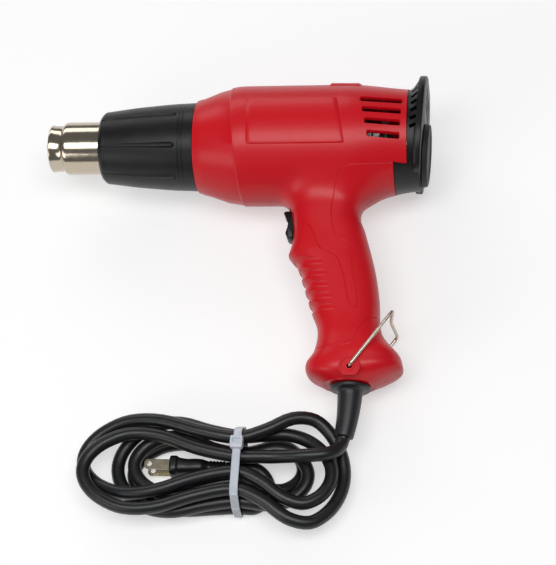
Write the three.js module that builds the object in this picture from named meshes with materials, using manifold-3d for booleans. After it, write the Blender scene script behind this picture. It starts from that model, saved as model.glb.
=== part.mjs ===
// Hot air tool with its cord: a pistol-grip heat gun lying on its right side.
// Millimetres. The tool's own frame has x to the rear, y up and z to its left side,
// with the air axis along x. The floor frame has +Z up; the cord is laid out in it.
import * as THREE from 'three';
import { mergeVertices } from 'three/addons/utils/BufferGeometryUtils.js';
import Module from 'manifold-3d';

const wasm = await Module();
wasm.setup();

// Clearances
const GAP = 0.3; // between pieces that touch or seat in one another
const RUNNING_GAP = 0.6; // round pieces that turn

// Body of the housing
const BODY_LENGTH = 139.5; // front rim to the rear cap
const BODY_RADIUS = 40;
const BODY_RISE = 0; // the body's centre lies above the air axis
const FRONT_RADIUS = 30.8;
const DOME_LENGTH = 33;
const TAPER_LENGTH = 41.5; // from the cylinder's end to the rear cap
const TAPER_START = BODY_LENGTH - TAPER_LENGTH;
const REAR_RADIUS = 33.5;
const REAR_RISE = 2.7;
const WALL = 3;
const NOSE_STEP = 0.7; // the nose is lower than the body behind its slanted edge
const NOSE_EDGE = 27;
const HUMP_RISE = 1.2; // the flat hump on the body's top
const HUMP_FRONT = 89.6;
const HUMP_LENGTH = 17.8;
const HUMP_RAMP = 2;
const HUMP_HALF_WIDTH = 25;

// Handle
const HANDLE_BOTTOM = 165.5; // below the air axis
const GRIP_HALF_WIDTH = 17.4;
const BASE_HALF_WIDTH = 22;
const GROOVE_COUNT = 5;
const GROOVE_PITCH = 8.3;
const GROOVE_RADIUS = 4.2;
const GROOVE_DEPTH = 1.3;
const GROOVE_FIRST = 88.5; // the first groove's drop at the front
const GROOVE_FALL = 7; // how much lower each groove ends on the side
const GROOVE_SWEEP = 76; // degrees from the grip's front to its side

// Side vents and the bare side panel
const VENT_COUNT = 4;
const VENT_PITCH = 9.3;
const VENT_HEIGHT = 3;
const VENT_LENGTH = 26;
const VENT_INSET = 3.5; // from the vents' rear ends to the rear cap
const VENT_REAR = BODY_LENGTH - VENT_INSET;
const VENT_FRONT = VENT_REAR - VENT_LENGTH;
const VENT_MIDDLE = 1.8;
const PANEL_HEIGHT = 34;
const PANEL_RISE = 0.8;

// Nozzle and heater
const NOZZLE_TIP = 101; // in front of the front rim
const NOZZLE_RADIUS = 17.75;
const NOZZLE_WALL = 1;
const SLEEVE_RADIUS = 15.5;
const SLEEVE_LENGTH = 9.5;
const NOZZLE_BACK = 14;
const NOZZLE_FLANGE_RADIUS = 23;
const MICA_WALL = 1;
const CORE_RADIUS = 9.5;
const COIL_WIRE = 1.6;
const COIL_TURNS = 9;

// Front shroud
const SHROUD_FRONT = 65;
const SHROUD_FRONT_RADIUS = 24.4;
const SHROUD_REAR_RADIUS = 29.6;
const SHROUD_WALL = 2.8;
const SHROUD_GROOVES = 8;
const SHROUD_GROOVE_RADIUS = 2.2;
const SHROUD_GROOVE_END = 15; // in front of the front rim
const SPIGOT_LENGTH = 12;

// Motor, fan and duct
const MOTOR_RADIUS = 18;
const MOTOR_BELL_RADIUS = 14;
const MOTOR_INSET = 55.5; // from the motor's front to the rear cap
const MOTOR_FRONT = BODY_LENGTH - MOTOR_INSET;
const MOTOR_LENGTH = 40;
const SHAFT_RADIUS = 1.6;
const FAN_RADIUS = 29;
const FAN_LEAD = 18; // the fan's front lies ahead of the motor's
const FAN_FRONT = MOTOR_FRONT - FAN_LEAD;
const FAN_DEPTH = 12;
const FAN_BLADES = 7;
const FAN_HUB_RADIUS = 9;
const FAN_PITCH = 38; // degrees from the plane of rotation
const DUCT_WALL = 1.6;
const DUCT_FLANGE = 36.4;
const DUCT_HOLES = 6;
const BOARD_RADIUS = 14;
const BOARD_THICKNESS = 1.6;

// Rear cap, stand plate and pad
const STAND_SPACE = 7.6; // from the rear cap's seam to the plate's middle
const STAND_MIDDLE = BODY_LENGTH + STAND_SPACE;
const STAND_LEAN = 3.2; // degrees, its top to the rear
const STAND_THICKNESS = 4.8;
const STAND_TOP = 43.8;
const STAND_BOTTOM = 27;
const STAND_HALF_WIDTH = 34;
const LOUVRE_COUNT = 4;
const LOUVRE_PITCH = 9.4;
const LOUVRE_HEIGHT = 2.6;
const PAD_RADIUS = 21;
const PAD_DEPTH = 3.6;
const PAD_DROP = 8;

// Trigger and switch
const TRIGGER_HEIGHT = 20;
const TRIGGER_MIDDLE = 59;
const TRIGGER_WIDTH = 12;
const TRIGGER_SWING = 6; // degrees each way
const TRIGGER_PIVOT_X = 71.5;
const TRIGGER_LUG_RADIUS = 3.6;
const TRIGGER_LUG_WIDTH = 7;
const TRIGGER_PIN_RADIUS = 1;
const TRIGGER_PIN_HALF = 5.5; // half its length
const SWITCH_WIDTH = 15;
const SWITCH_DEPTH = 20;
const SWITCH_HEIGHT = 25;

// Hanging bail
const BAIL_WIRE = 2.2;
const BAIL_PIVOT = new THREE.Vector2(107.7, -160.9);
const BAIL_REACH = 44;
const BAIL_ANGLE = 54; // degrees above the rearward direction, as it lies
const BAIL_NOTCH_BACK = 1; // the far bar's middle is bent back and towards the handle
const BAIL_NOTCH_SIDE = 2.8;
const BAIL_BEND = 4;
const BAIL_PIN_LENGTH = 7;
const BOSS_RADIUS = 7.2;
const BOSS_HEIGHT = 1.2;

// Strain relief and cord
const RELIEF_X = 106.5;
const RELIEF_NECK_RADIUS = 7;
const RELIEF_DISC_RADIUS = 12.8;
const RELIEF_DISC_THICKNESS = 2.6;
const BOOT_START_RADIUS = 8;
const BOOT_END_RADIUS = 6;
const BOOT_LENGTH = 31.2;
const BOOT_BEND = 3;
const CORD_DIAMETER = 8.4;

// How the tool lies: on its right side panel and the bail's right leg
const PANEL_SWELL = 0.9; // how far the side panel stands out

// Hank of cord on the floor, drawn in at its waist by a tie
const HANK_X = 39;
const HANK_Y = -218;
const HANK_PITCH = CORD_DIAMETER + 0.6; // between neighbouring strands of one layer
const LAYER_RISE = CORD_DIAMETER + 0.9;
const TIE_WIDTH = 5;
const TIE_THICKNESS = 1.3;
const TIE_SLACK = 0.7; // between the strands and the tie
const TIE_HEAD = 8;
const TIE_HEAD_ACROSS = 11; // its head's place across the waist, towards the tool
const LOOP_STEPS = 24;
const CORD_SIDES = 6;

// Plug in the left lobe, its blades one above the other and towards the nozzle
const PLUG_FACE_X = -5;
const PLUG_HEIGHT = 19;
const PLUG_WIDTH = 13;
const PLUG_LENGTH = 24;
const PLUG_NECK_LENGTH = 11;
const BLADE_LENGTH = 16;
const BLADE_WIDTH = 6.4;
const BLADE_THICKNESS = 1.5;
const BLADE_SPACING = 12.7;
const LEAD_RADIUS = 1.2; // insulated leads inside the handle
const MOTOR_LEAD_Y = -26;
const CLAMP_THICKNESS = 3;
const CLAMP_WIDTH = 8;
const CLAMP_SPAN = 20; // between its two screws
const CLAMP_DROP = 146;

// Housing screws: places along x and y, all driven from the right side
const SCREW_SHANK_RADIUS = 1.5;
const SCREW_HEAD_RADIUS = 3.4;
const SCREW_HEAD_HEIGHT = 2.4;
const SCREW_HEAD_DEPTH = 11; // the head's seat below the parting plane
const SCREW_GRIP = 9; // thread depth in the left shell
const REAR_SCREW_INSET = 17.5;
const BODY_SCREWS = [[44, 31.5], [44, -31.5], [BODY_LENGTH - REAR_SCREW_INSET, 28.5]];
const HANDLE_SCREWS = [[100, -62], [106, -88], [108, -122]];
const BASE_SCREWS = [[88, -154], [127, -154]];
const SCREW_PLACES = [...BODY_SCREWS, ...HANDLE_SCREWS, ...BASE_SCREWS];

// Geometry helpers

function solidOf(geometry) {
  const bare = geometry.clone();
  for (const name of Object.keys(bare.attributes)) {
    if (name !== 'position') bare.deleteAttribute(name);
  }
  const merged = mergeVertices(bare, 1e-4);
  return new wasm.Manifold(new wasm.Mesh({
    numProp: 3,
    vertProperties: new Float32Array(merged.attributes.position.array),
    triVerts: new Uint32Array(merged.index.array),
  }));
}

function geometryOf(solid) {
  const mesh = solid.getMesh();
  const geometry = new THREE.BufferGeometry();
  geometry.setAttribute('position', new THREE.BufferAttribute(new Float32Array(mesh.vertProperties), 3));
  geometry.setIndex(new THREE.BufferAttribute(new Uint32Array(mesh.triVerts), 1));
  return geometry;
}

function cutAll(solid, tools) {
  return tools.reduce((result, tool) => result.subtract(tool), solid);
}

function addAll(solid, tools) {
  return tools.reduce((result, tool) => result.add(tool), solid);
}

// A solid turned about the x axis from a closed profile of [x, radius] points.
function turned(profile, segments = 40) {
  const points = profile.map(([x, radius]) => new THREE.Vector2(radius, -x));
  const geometry = new THREE.LatheGeometry([...points, points[0]], segments);
  geometry.rotateZ(Math.PI / 2);
  return orientedSolid(geometry);
}

// Turns the faces outwards where a profile ran the other way round.
function orientedSolid(geometry) {
  const first = solidOf(geometry);
  if (first.volume() > 0) return first;
  const index = geometry.index.array;
  for (let i = 0; i < index.length; i += 3) {
    const swap = index[i + 1];
    index[i + 1] = index[i + 2];
    index[i + 2] = swap;
  }
  return solidOf(geometry);
}

function box(x0, x1, y0, y1, z0, z1) {
  const geometry = new THREE.BoxGeometry(x1 - x0, y1 - y0, z1 - z0);
  geometry.translate((x0 + x1) / 2, (y0 + y1) / 2, (z0 + z1) / 2);
  return solidOf(geometry);
}

// A cylinder along z, from z0 to z1.
function pin(x, y, radius, z0, z1, segments = 16) {
  const geometry = new THREE.CylinderGeometry(radius, radius, z1 - z0, segments);
  geometry.rotateX(Math.PI / 2);
  geometry.translate(x, y, (z0 + z1) / 2);
  return solidOf(geometry);
}

// A closed outline of [x, y] points raised along z.
function plate(outline, z0, z1, bevel = 0) {
  const shape = new THREE.Shape(outline.map(([x, y]) => new THREE.Vector2(x, y)));
  const geometry = new THREE.ExtrudeGeometry(shape, {
    depth: z1 - z0 - 2 * bevel,
    bevelEnabled: bevel > 0,
    bevelSize: bevel,
    bevelThickness: bevel,
    bevelOffset: -bevel,
    bevelSegments: 2,
    steps: 1,
  });
  geometry.translate(0, 0, z0 + bevel);
  return solidOf(geometry);
}

// A closed solid through rings of equal point counts, with flat fans at both ends.
function loft(rings) {
  const count = rings[0].length;
  const positions = rings.flat().flatMap((point) => [point.x, point.y, point.z]);
  const index = [];
  for (let r = 0; r + 1 < rings.length; r += 1) {
    for (let i = 0; i < count; i += 1) {
      const a = r * count + i;
      const b = r * count + ((i + 1) % count);
      index.push(a, b, a + count, b, b + count, a + count);
    }
  }
  for (const [ring, flip] of [[0, true], [rings.length - 1, false]]) {
    const centre = positions.length / 3;
    const middle = rings[ring].reduce((sum, point) => sum.add(point), new THREE.Vector3());
    middle.divideScalar(count);
    positions.push(middle.x, middle.y, middle.z);
    for (let i = 0; i < count; i += 1) {
      const a = ring * count + i;
      const b = ring * count + ((i + 1) % count);
      if (flip) index.push(centre, b, a);
      else index.push(centre, a, b);
    }
  }
  const geometry = new THREE.BufferGeometry();
  geometry.setAttribute('position', new THREE.Float32BufferAttribute(positions, 3));
  geometry.setIndex(index);
  return geometry;
}

// A smooth curve through [at, value] points, read at any place along it.
function through(points) {
  const slope = points.map((_, i) => {
    const before = points[Math.max(i - 1, 0)];
    const after = points[Math.min(i + 1, points.length - 1)];
    return (after[1] - before[1]) / (after[0] - before[0]);
  });
  return (at) => {
    const last = points.length - 2;
    const found = points.findIndex((point, i) => i <= last && at <= points[i + 1][0]);
    const i = found < 0 ? last : found;
    const span = points[i + 1][0] - points[i][0];
    const t = THREE.MathUtils.clamp((at - points[i][0]) / span, 0, 1);
    const h00 = (1 + 2 * t) * (1 - t) ** 2;
    const h10 = t * (1 - t) ** 2;
    const h01 = t * t * (3 - 2 * t);
    const h11 = t * t * (t - 1);
    return h00 * points[i][1] + h10 * span * slope[i] + h01 * points[i + 1][1] + h11 * span * slope[i + 1];
  };
}

// A tube through points, its rings carried along without twist; radius may vary.
function sweep(points, radius, sides = 8) {
  const radiusAt = typeof radius === 'function' ? radius : () => radius;
  const tangents = points.map((_, i) => {
    const ahead = points[Math.min(i + 1, points.length - 1)];
    const behind = points[Math.max(i - 1, 0)];
    return ahead.clone().sub(behind).normalize();
  });
  const seed = Math.abs(tangents[0].z) < 0.9 ? new THREE.Vector3(0, 0, 1) : new THREE.Vector3(1, 0, 0);
  let normal = seed.cross(tangents[0]).normalize();
  return loft(points.map((point, i) => {
    normal = normal.clone().addScaledVector(tangents[i], -normal.dot(tangents[i])).normalize();
    const side = tangents[i].clone().cross(normal);
    const size = radiusAt(i / (points.length - 1));
    return Array.from({ length: sides }, (_, k) => {
      const angle = (k / sides) * 2 * Math.PI;
      return point.clone().addScaledVector(normal, size * Math.cos(angle)).addScaledVector(side, size * Math.sin(angle));
    });
  }));
}

// A run of corners with each inner one rounded.
function rounded(corners, radius, steps = 4) {
  const result = [corners[0]];
  for (let i = 1; i + 1 < corners.length; i += 1) {
    const before = corners[i - 1].clone().sub(corners[i]);
    const after = corners[i + 1].clone().sub(corners[i]);
    const reach = Math.min(radius, before.length() * 0.45, after.length() * 0.45);
    const start = corners[i].clone().addScaledVector(before.normalize(), reach);
    const end = corners[i].clone().addScaledVector(after.normalize(), reach);
    const bend = new THREE.QuadraticBezierCurve3(start, corners[i], end);
    result.push(...bend.getPoints(steps));
  }
  result.push(corners[corners.length - 1]);
  return result;
}

function vector(x, y, z) {
  return new THREE.Vector3(x, y, z);
}

function smooth(t) {
  const s = THREE.MathUtils.clamp(t, 0, 1);
  return s * s * (3 - 2 * s);
}

// Housing forms

function bodyRadius(x) {
  if (x < DOME_LENGTH) {
    const rise = Math.sin((Math.PI / 2) * Math.max(x, 0) / DOME_LENGTH);
    return FRONT_RADIUS + (BODY_RADIUS - FRONT_RADIUS) * rise;
  }
  const t = smooth((x - TAPER_START) / (BODY_LENGTH + 8 - TAPER_START));
  return BODY_RADIUS + (REAR_RADIUS - BODY_RADIUS) * t;
}

function bodyRise(x) {
  if (x < DOME_LENGTH) return BODY_RISE * smooth(x / DOME_LENGTH);
  return BODY_RISE + (REAR_RISE - BODY_RISE) * smooth((x - TAPER_START) / (BODY_LENGTH + 8 - TAPER_START));
}

// The body's outer form drawn in by an inset, between two places along x.
const TAPER_STATIONS = [9, 18, 27].map((along) => TAPER_START + along);
const BODY_STATIONS = [0, 3, 7, 12, 18, 25, DOME_LENGTH, TAPER_START, ...TAPER_STATIONS, BODY_LENGTH];
const CAVITY_STATIONS = [8, DOME_LENGTH, TAPER_START, TAPER_STATIONS[1], BODY_LENGTH];

function bodyForm(inset, x0, x1, stations = BODY_STATIONS, around = 36) {
  const places = [x0, ...stations.filter((x) => x > x0 + 0.5 && x < x1 - 0.5), x1];
  return orientedSolid(loft(places.map((x) => {
    const ring = [];
    for (let i = 0; i < around; i += 1) {
      const angle = (i / around) * 2 * Math.PI;
      const radius = bodyRadius(x) - inset;
      ring.push(new THREE.Vector3(x, bodyRise(x) + radius * Math.cos(angle), radius * Math.sin(angle)));
    }
    return ring;
  })));
}

// Handle outlines against the distance below the air axis.
const handleFront = through([[20, 61], [44, 62.6], [50, 64.2], [64, 66], [72, 65.2], [78, 63.2], [83, 66.5],
  [88, 69.8], [106, 75.9], [119, 80.3], [129, 84.2], [137, 84.8], [147, 81.8], [154.5, 77.4], [160.5, 79.6],
  [HANDLE_BOTTOM, 90]]);
const handleRear = through([[20, BODY_LENGTH - 13.5], [36, BODY_LENGTH - 18.5], [44, 112.6], [54, 109.4], [64, 112],
  [90, 118.8], [110, 122], [126, 123.2], [134, 125.8], [141, 132], [147, 137.4], [151, 138.3], [157, 137],
  [HANDLE_BOTTOM, 119]]);
const handleWidth = through([[20, GRIP_HALF_WIDTH + 3], [50, GRIP_HALF_WIDTH + 1], [72, GRIP_HALF_WIDTH],
  [118, GRIP_HALF_WIDTH], [134, GRIP_HALF_WIDTH + 1.2], [147, BASE_HALF_WIDTH - 0.4], [154, BASE_HALF_WIDTH],
  [158, BASE_HALF_WIDTH - 0.5], [162, BASE_HALF_WIDTH - 3.4], [HANDLE_BOTTOM, BASE_HALF_WIDTH - 9]]);
const HANDLE_SQUARENESS = 2.5;

const HANDLE_STATIONS = [20, 38, 46, 54, 64, 72, 78, 84, 100, 118, 127, 134, 141, 147, 151,
  155, 158.5, 161.5, 164];
const HANDLE_CAVITY_STATIONS = [46, 70, 84, 118, 134, 147];

function handleForm(inset, top, bottom, stations = HANDLE_STATIONS, around = 20) {
  const places = [top, ...stations.filter((y) => y > top + 0.5 && y < bottom - 0.5), bottom];
  return orientedSolid(loft(places.map((drop) => {
    const front = handleFront(drop) + inset;
    const rear = handleRear(drop) - inset;
    const half = handleWidth(drop) - inset;
    const ring = [];
    for (let i = 0; i < around; i += 1) {
      const angle = (i / around) * 2 * Math.PI;
      const c = Math.cos(angle);
      const s = Math.sin(angle);
      const power = 2 / HANDLE_SQUARENESS;
      ring.push(new THREE.Vector3(
        (front + rear) / 2 + ((rear - front) / 2) * Math.sign(c) * Math.abs(c) ** power,
        -drop,
        half * Math.sign(s) * Math.abs(s) ** power,
      ));
    }
    return ring;
  })));
}

const SPIGOT_RADIUS = SHROUD_REAR_RADIUS - SHROUD_WALL - GAP;
const LOWER_STEP_INSET = 8.5; // below the side step the red shell ends further forward
const LOWER_STEP_X = BODY_LENGTH - LOWER_STEP_INSET;
const LOWER_STEP_Y = -27;
const CAVITY_FRONT = NOZZLE_BACK + 4;

// A point of the grip's surface: the turn runs from the middle of its front to a side.
function gripPoint(drop, turn, side) {
  const front = handleFront(drop);
  const rear = handleRear(drop);
  const power = 2 / HANDLE_SQUARENESS;
  return vector((front + rear) / 2 - ((rear - front) / 2) * Math.cos(turn) ** power, -drop,
    side * handleWidth(drop) * Math.sin(turn) ** power);
}

// Finger grooves slope down and back round the front of the grip and fade out on its side.
function fingerGrooves(side) {
  const steps = 7;
  return Array.from({ length: GROOVE_COUNT }, (_, i) => {
    const line = Array.from({ length: steps + 1 }, (__, k) => {
      const drop = GROOVE_FIRST + i * GROOVE_PITCH + GROOVE_FALL * (k / steps);
      const turn = THREE.MathUtils.degToRad(GROOVE_SWEEP) * (k / steps);
      const point = gripPoint(drop, turn, side);
      const along = gripPoint(drop, turn + 0.05, side).sub(gripPoint(drop, Math.max(turn - 0.05, 0), side));
      const outward = vector(-side * along.z, 0, side * along.x).normalize();
      const depth = GROOVE_DEPTH * (1 - (k / steps) ** 4);
      return point.addScaledVector(outward, GROOVE_RADIUS - depth);
    });
    line.unshift(line[0].clone().add(vector(0, 0, -side * GROOVE_RADIUS / 2)));
    return orientedSolid(sweep(line, GROOVE_RADIUS, 8));
  });
}

// The flat hump across the body's top, with a short ramp at its front and its rear.
function hump() {
  const rear = HUMP_FRONT + HUMP_LENGTH;
  const outline = [[HUMP_FRONT - HUMP_RAMP, 20], [rear + HUMP_RAMP, 20], [rear + HUMP_RAMP, BODY_RADIUS - HUMP_RISE],
    [rear, BODY_RADIUS + HUMP_RISE], [HUMP_FRONT, BODY_RADIUS + HUMP_RISE],
    [HUMP_FRONT - HUMP_RAMP, BODY_RADIUS - HUMP_RISE]];
  return plate(outline, -HUMP_HALF_WIDTH, HUMP_HALF_WIDTH).intersect(bodyForm(-HUMP_RISE, NOSE_EDGE, BODY_LENGTH));
}

// The raised bare panel on each side of the body: a trapezoid with bevelled edges.
function sidePanel(side) {
  const low = PANEL_RISE - PANEL_HEIGHT / 2;
  const high = PANEL_RISE + PANEL_HEIGHT / 2;
  const front = DOME_LENGTH + 4;
  const rear = VENT_FRONT - 9.5;
  const outline = [[front, low], [rear, low], [rear - 6, high], [front - 1.5, high]];
  const reach = BODY_RADIUS + PANEL_SWELL;
  const block = side > 0 ? plate(outline, 20, reach, 0) : plate(outline, -reach, -20, 0);
  return block.intersect(bodyForm(-PANEL_SWELL, DOME_LENGTH - 3, VENT_FRONT - 4));
}

function ventCutters() {
  return Array.from({ length: VENT_COUNT }, (_, i) => {
    const y = VENT_MIDDLE + (i - (VENT_COUNT - 1) / 2) * VENT_PITCH;
    const lean = 1.7 * (VENT_COUNT - 1 - i);
    return box(VENT_FRONT + lean, VENT_REAR - lean * 0.25, y - VENT_HEIGHT / 2, y + VENT_HEIGHT / 2, -60, 60);
  });
}

const outerForm = (() => {
  const relieved = box(-1, 2 * NOSE_EDGE, -80, 80, -80, 80);
  const edge = plate([[-1, -80], [NOSE_EDGE + 8, -80], [NOSE_EDGE - 8, 80], [-1, 80]], -80, 80);
  const nose = relieved.intersect(edge).subtract(bodyForm(NOSE_STEP, -2, 60));
  const body = bodyForm(0, 0, BODY_LENGTH).subtract(nose);
  const spigot = turned([[-SPIGOT_LENGTH, 0], [-SPIGOT_LENGTH, SPIGOT_RADIUS], [1, SPIGOT_RADIUS], [1, 0]], 28);
  const bosses = [-1, 1].map((side) => {
    const outer = side * (BASE_HALF_WIDTH + BOSS_HEIGHT);
    const inner = side * (BASE_HALF_WIDTH - 6);
    return pin(BAIL_PIVOT.x, BAIL_PIVOT.y, BOSS_RADIUS, Math.min(outer, inner), Math.max(outer, inner), 28);
  });
  const whole = addAll(body, [handleForm(0, 20, HANDLE_BOTTOM), spigot, hump(), sidePanel(1), sidePanel(-1), ...bosses]);
  const lowerStep = box(LOWER_STEP_X, BODY_LENGTH + 20, -60, LOWER_STEP_Y, -60, 60);
  const belowBase = box(0, BODY_LENGTH + 20, -HANDLE_BOTTOM - 20, -HANDLE_BOTTOM, -60, 60);
  return cutAll(whole, [lowerStep, belowBase, ...fingerGrooves(1), ...fingerGrooves(-1), ...ventCutters()]);
})();

// Screw bores: a threaded hole in the left shell and a counterbored one in the right.
function screwPosts(side) {
  const reach = 60;
  const posts = SCREW_PLACES.map(([x, y]) => (side > 0
    ? pin(x, y, SCREW_SHANK_RADIUS + 3, GAP / 2, reach, 7)
    : pin(x, y, SCREW_HEAD_RADIUS + 2.2, -reach, -GAP / 2, 8)));
  return addAll(posts[0], posts.slice(1)).intersect(outerForm);
}

function screwBores(side) {
  if (side > 0) {
    return SCREW_PLACES.map(([x, y]) => pin(x, y, SCREW_SHANK_RADIUS + GAP, -1, SCREW_GRIP + 1, 8));
  }
  return SCREW_PLACES.flatMap(([x, y]) => [
    pin(x, y, SCREW_SHANK_RADIUS + GAP, -SCREW_HEAD_DEPTH - 1, 1, 8),
    pin(x, y, SCREW_HEAD_RADIUS + GAP, -60, -SCREW_HEAD_DEPTH, 12),
  ]);
}

// Openings that both shells share, cut through the parting plane.
const mouthHalf = TRIGGER_HEIGHT / 2 + 14 * Math.sin(THREE.MathUtils.degToRad(TRIGGER_SWING)) + GAP;
const triggerMouth = box(50, TRIGGER_PIVOT_X, -TRIGGER_MIDDLE - mouthHalf, -TRIGGER_MIDDLE + mouthHalf,
  -TRIGGER_WIDTH / 2 - GAP, TRIGGER_WIDTH / 2 + GAP);
const frontBore = turned([[-SPIGOT_LENGTH - 1, 0], [-SPIGOT_LENGTH - 1, NOZZLE_RADIUS + 2],
  [CAVITY_FRONT + 1, NOZZLE_RADIUS + 2], [CAVITY_FRONT + 1, 0]], 28);
const flangeSlot = turned([[NOZZLE_BACK - 3 - GAP, 0], [NOZZLE_BACK - 3 - GAP, NOZZLE_FLANGE_RADIUS + GAP],
  [NOZZLE_BACK + GAP, NOZZLE_FLANGE_RADIUS + GAP], [NOZZLE_BACK + GAP, 0]], 28);
const bodyCavity = bodyForm(WALL, CAVITY_FRONT, BODY_LENGTH + 5, CAVITY_STATIONS, 20);
const handleCavity = handleForm(WALL, 30, HANDLE_BOTTOM - 4, HANDLE_CAVITY_STATIONS, 12);
const reliefBore = (() => {
  const geometry = new THREE.CylinderGeometry(RELIEF_NECK_RADIUS + GAP, RELIEF_NECK_RADIUS + GAP, 20, 24);
  geometry.translate(RELIEF_X, -HANDLE_BOTTOM + 6, 0);
  return solidOf(geometry);
})();
const bailBore = pin(BAIL_PIVOT.x, BAIL_PIVOT.y, BAIL_WIRE / 2 + RUNNING_GAP, -BASE_HALF_WIDTH - 8, BASE_HALF_WIDTH + 8);

function shell(side) {
  const hollow = addAll(cutAll(outerForm, [bodyCavity, handleCavity]), [screwPosts(side), ...shellFins(side)]);
  const half = side > 0 ? box(-60, 200, -200, 80, GAP / 2, 80) : box(-60, 200, -200, 80, -80, -GAP / 2);
  const posts = side > 0 ? [] : clampPosts();
  return cutAll(addAll(hollow.intersect(half), posts),
    [frontBore, flangeSlot, triggerMouth, reliefBore, bailBore, ...clampBores(), ...screwBores(side)]);
}

// Motor fins, cord clamp posts: what the shells carry inside.
function shellFins(side) {
  return [MOTOR_FRONT + 6, MOTOR_FRONT + MOTOR_LENGTH - 10].map((x) => {
    const inner = side * (MOTOR_RADIUS + GAP);
    const outer = side * (BODY_RADIUS - 2);
    return box(x, x + 3, -2, 2, Math.min(inner, outer), Math.max(inner, outer));
  });
}

function clampPosts() {
  return [-1, 1].map((end) => pin(RELIEF_X + end * CLAMP_SPAN / 2, -CLAMP_DROP, 3.2, -BASE_HALF_WIDTH + 2,
    CORD_DIAMETER / 2 - GAP, 12));
}

function clampBores() {
  return [-1, 1].map((end) => pin(RELIEF_X + end * CLAMP_SPAN / 2, -CLAMP_DROP, SCREW_SHANK_RADIUS + GAP, -6, 10, 12));
}

// Nozzle and heater, all turned about the air axis

function nozzle() {
  const step = -NOZZLE_TIP + SLEEVE_LENGTH;
  const inner = SLEEVE_RADIUS - NOZZLE_WALL;
  return turned([
    [-NOZZLE_TIP + 1.2, inner], [-NOZZLE_TIP, inner + 0.3], [-NOZZLE_TIP, SLEEVE_RADIUS - 0.2],
    [-NOZZLE_TIP + 0.8, SLEEVE_RADIUS + 0.4], [-NOZZLE_TIP + 2.2, SLEEVE_RADIUS + 0.4], [-NOZZLE_TIP + 3, SLEEVE_RADIUS],
    [step - 1.2, SLEEVE_RADIUS], [step, SLEEVE_RADIUS + 0.8], [step + 0.6, NOZZLE_RADIUS - 0.6], [step + 1.8, NOZZLE_RADIUS],
    [NOZZLE_BACK - 3, NOZZLE_RADIUS], [NOZZLE_BACK - 3, NOZZLE_FLANGE_RADIUS], [NOZZLE_BACK, NOZZLE_FLANGE_RADIUS],
    [NOZZLE_BACK, NOZZLE_RADIUS - NOZZLE_WALL], [step + 2.4, NOZZLE_RADIUS - NOZZLE_WALL], [step + 1.2, inner + 0.8],
    [step, inner],
  ], 30);
}

const MICA_RADIUS = NOZZLE_RADIUS - NOZZLE_WALL - GAP;
const HEATER_FRONT = -NOZZLE_TIP + SLEEVE_LENGTH + 6;

function micaTube() {
  return turned([[HEATER_FRONT, MICA_RADIUS], [NOZZLE_BACK - 1, MICA_RADIUS], [NOZZLE_BACK - 1, MICA_RADIUS - MICA_WALL],
    [HEATER_FRONT, MICA_RADIUS - MICA_WALL]], 32);
}

// The ceramic former: a six-armed star that carries the coil on its tips.
function heaterCore() {
  const outline = Array.from({ length: 24 }, (_, i) => {
    const angle = (i / 24) * 2 * Math.PI;
    const radius = i % 4 < 2 ? CORE_RADIUS : CORE_RADIUS * 0.45;
    return [radius * Math.cos(angle), radius * Math.sin(angle)];
  });
  const length = NOZZLE_BACK - 2 - (HEATER_FRONT + 4);
  const bar = orientedSolid(alongX(plateGeometry(outline, length), HEATER_FRONT + 4));
  // A rear ring centres the former in the mica tube.
  const ring = turned([[NOZZLE_BACK - 6, CORE_RADIUS - 1.5], [NOZZLE_BACK - 6, MICA_RADIUS - MICA_WALL - GAP],
    [NOZZLE_BACK - 3, MICA_RADIUS - MICA_WALL - GAP], [NOZZLE_BACK - 3, CORE_RADIUS - 1.5]], 32);
  return bar.add(ring);
}

function heaterCoil() {
  const perTurn = 9;
  const radius = (CORE_RADIUS + GAP + COIL_WIRE / 2) / Math.cos(Math.PI / perTurn);
  const start = HEATER_FRONT + 7;
  const end = NOZZLE_BACK - 9;
  const points = Array.from({ length: COIL_TURNS * perTurn + 1 }, (_, i) => {
    const angle = (i / perTurn) * 2 * Math.PI;
    const x = start + ((end - start) * i) / (COIL_TURNS * perTurn);
    return vector(x, radius * Math.cos(angle), radius * Math.sin(angle));
  });
  return orientedSolid(sweep(points, COIL_WIRE / 2, 4));
}

// An outline in the y-z plane raised along x from a start.
function plateGeometry(outline, depth) {
  const shape = new THREE.Shape(outline.map(([u, v]) => new THREE.Vector2(u, v)));
  return new THREE.ExtrudeGeometry(shape, { depth, bevelEnabled: false, steps: 1 });
}

function alongX(geometry, start) {
  // The outline's u runs along -z and its v along y, so that +depth runs along +x.
  geometry.rotateY(Math.PI / 2);
  geometry.translate(start, 0, 0);
  return geometry;
}

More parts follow.
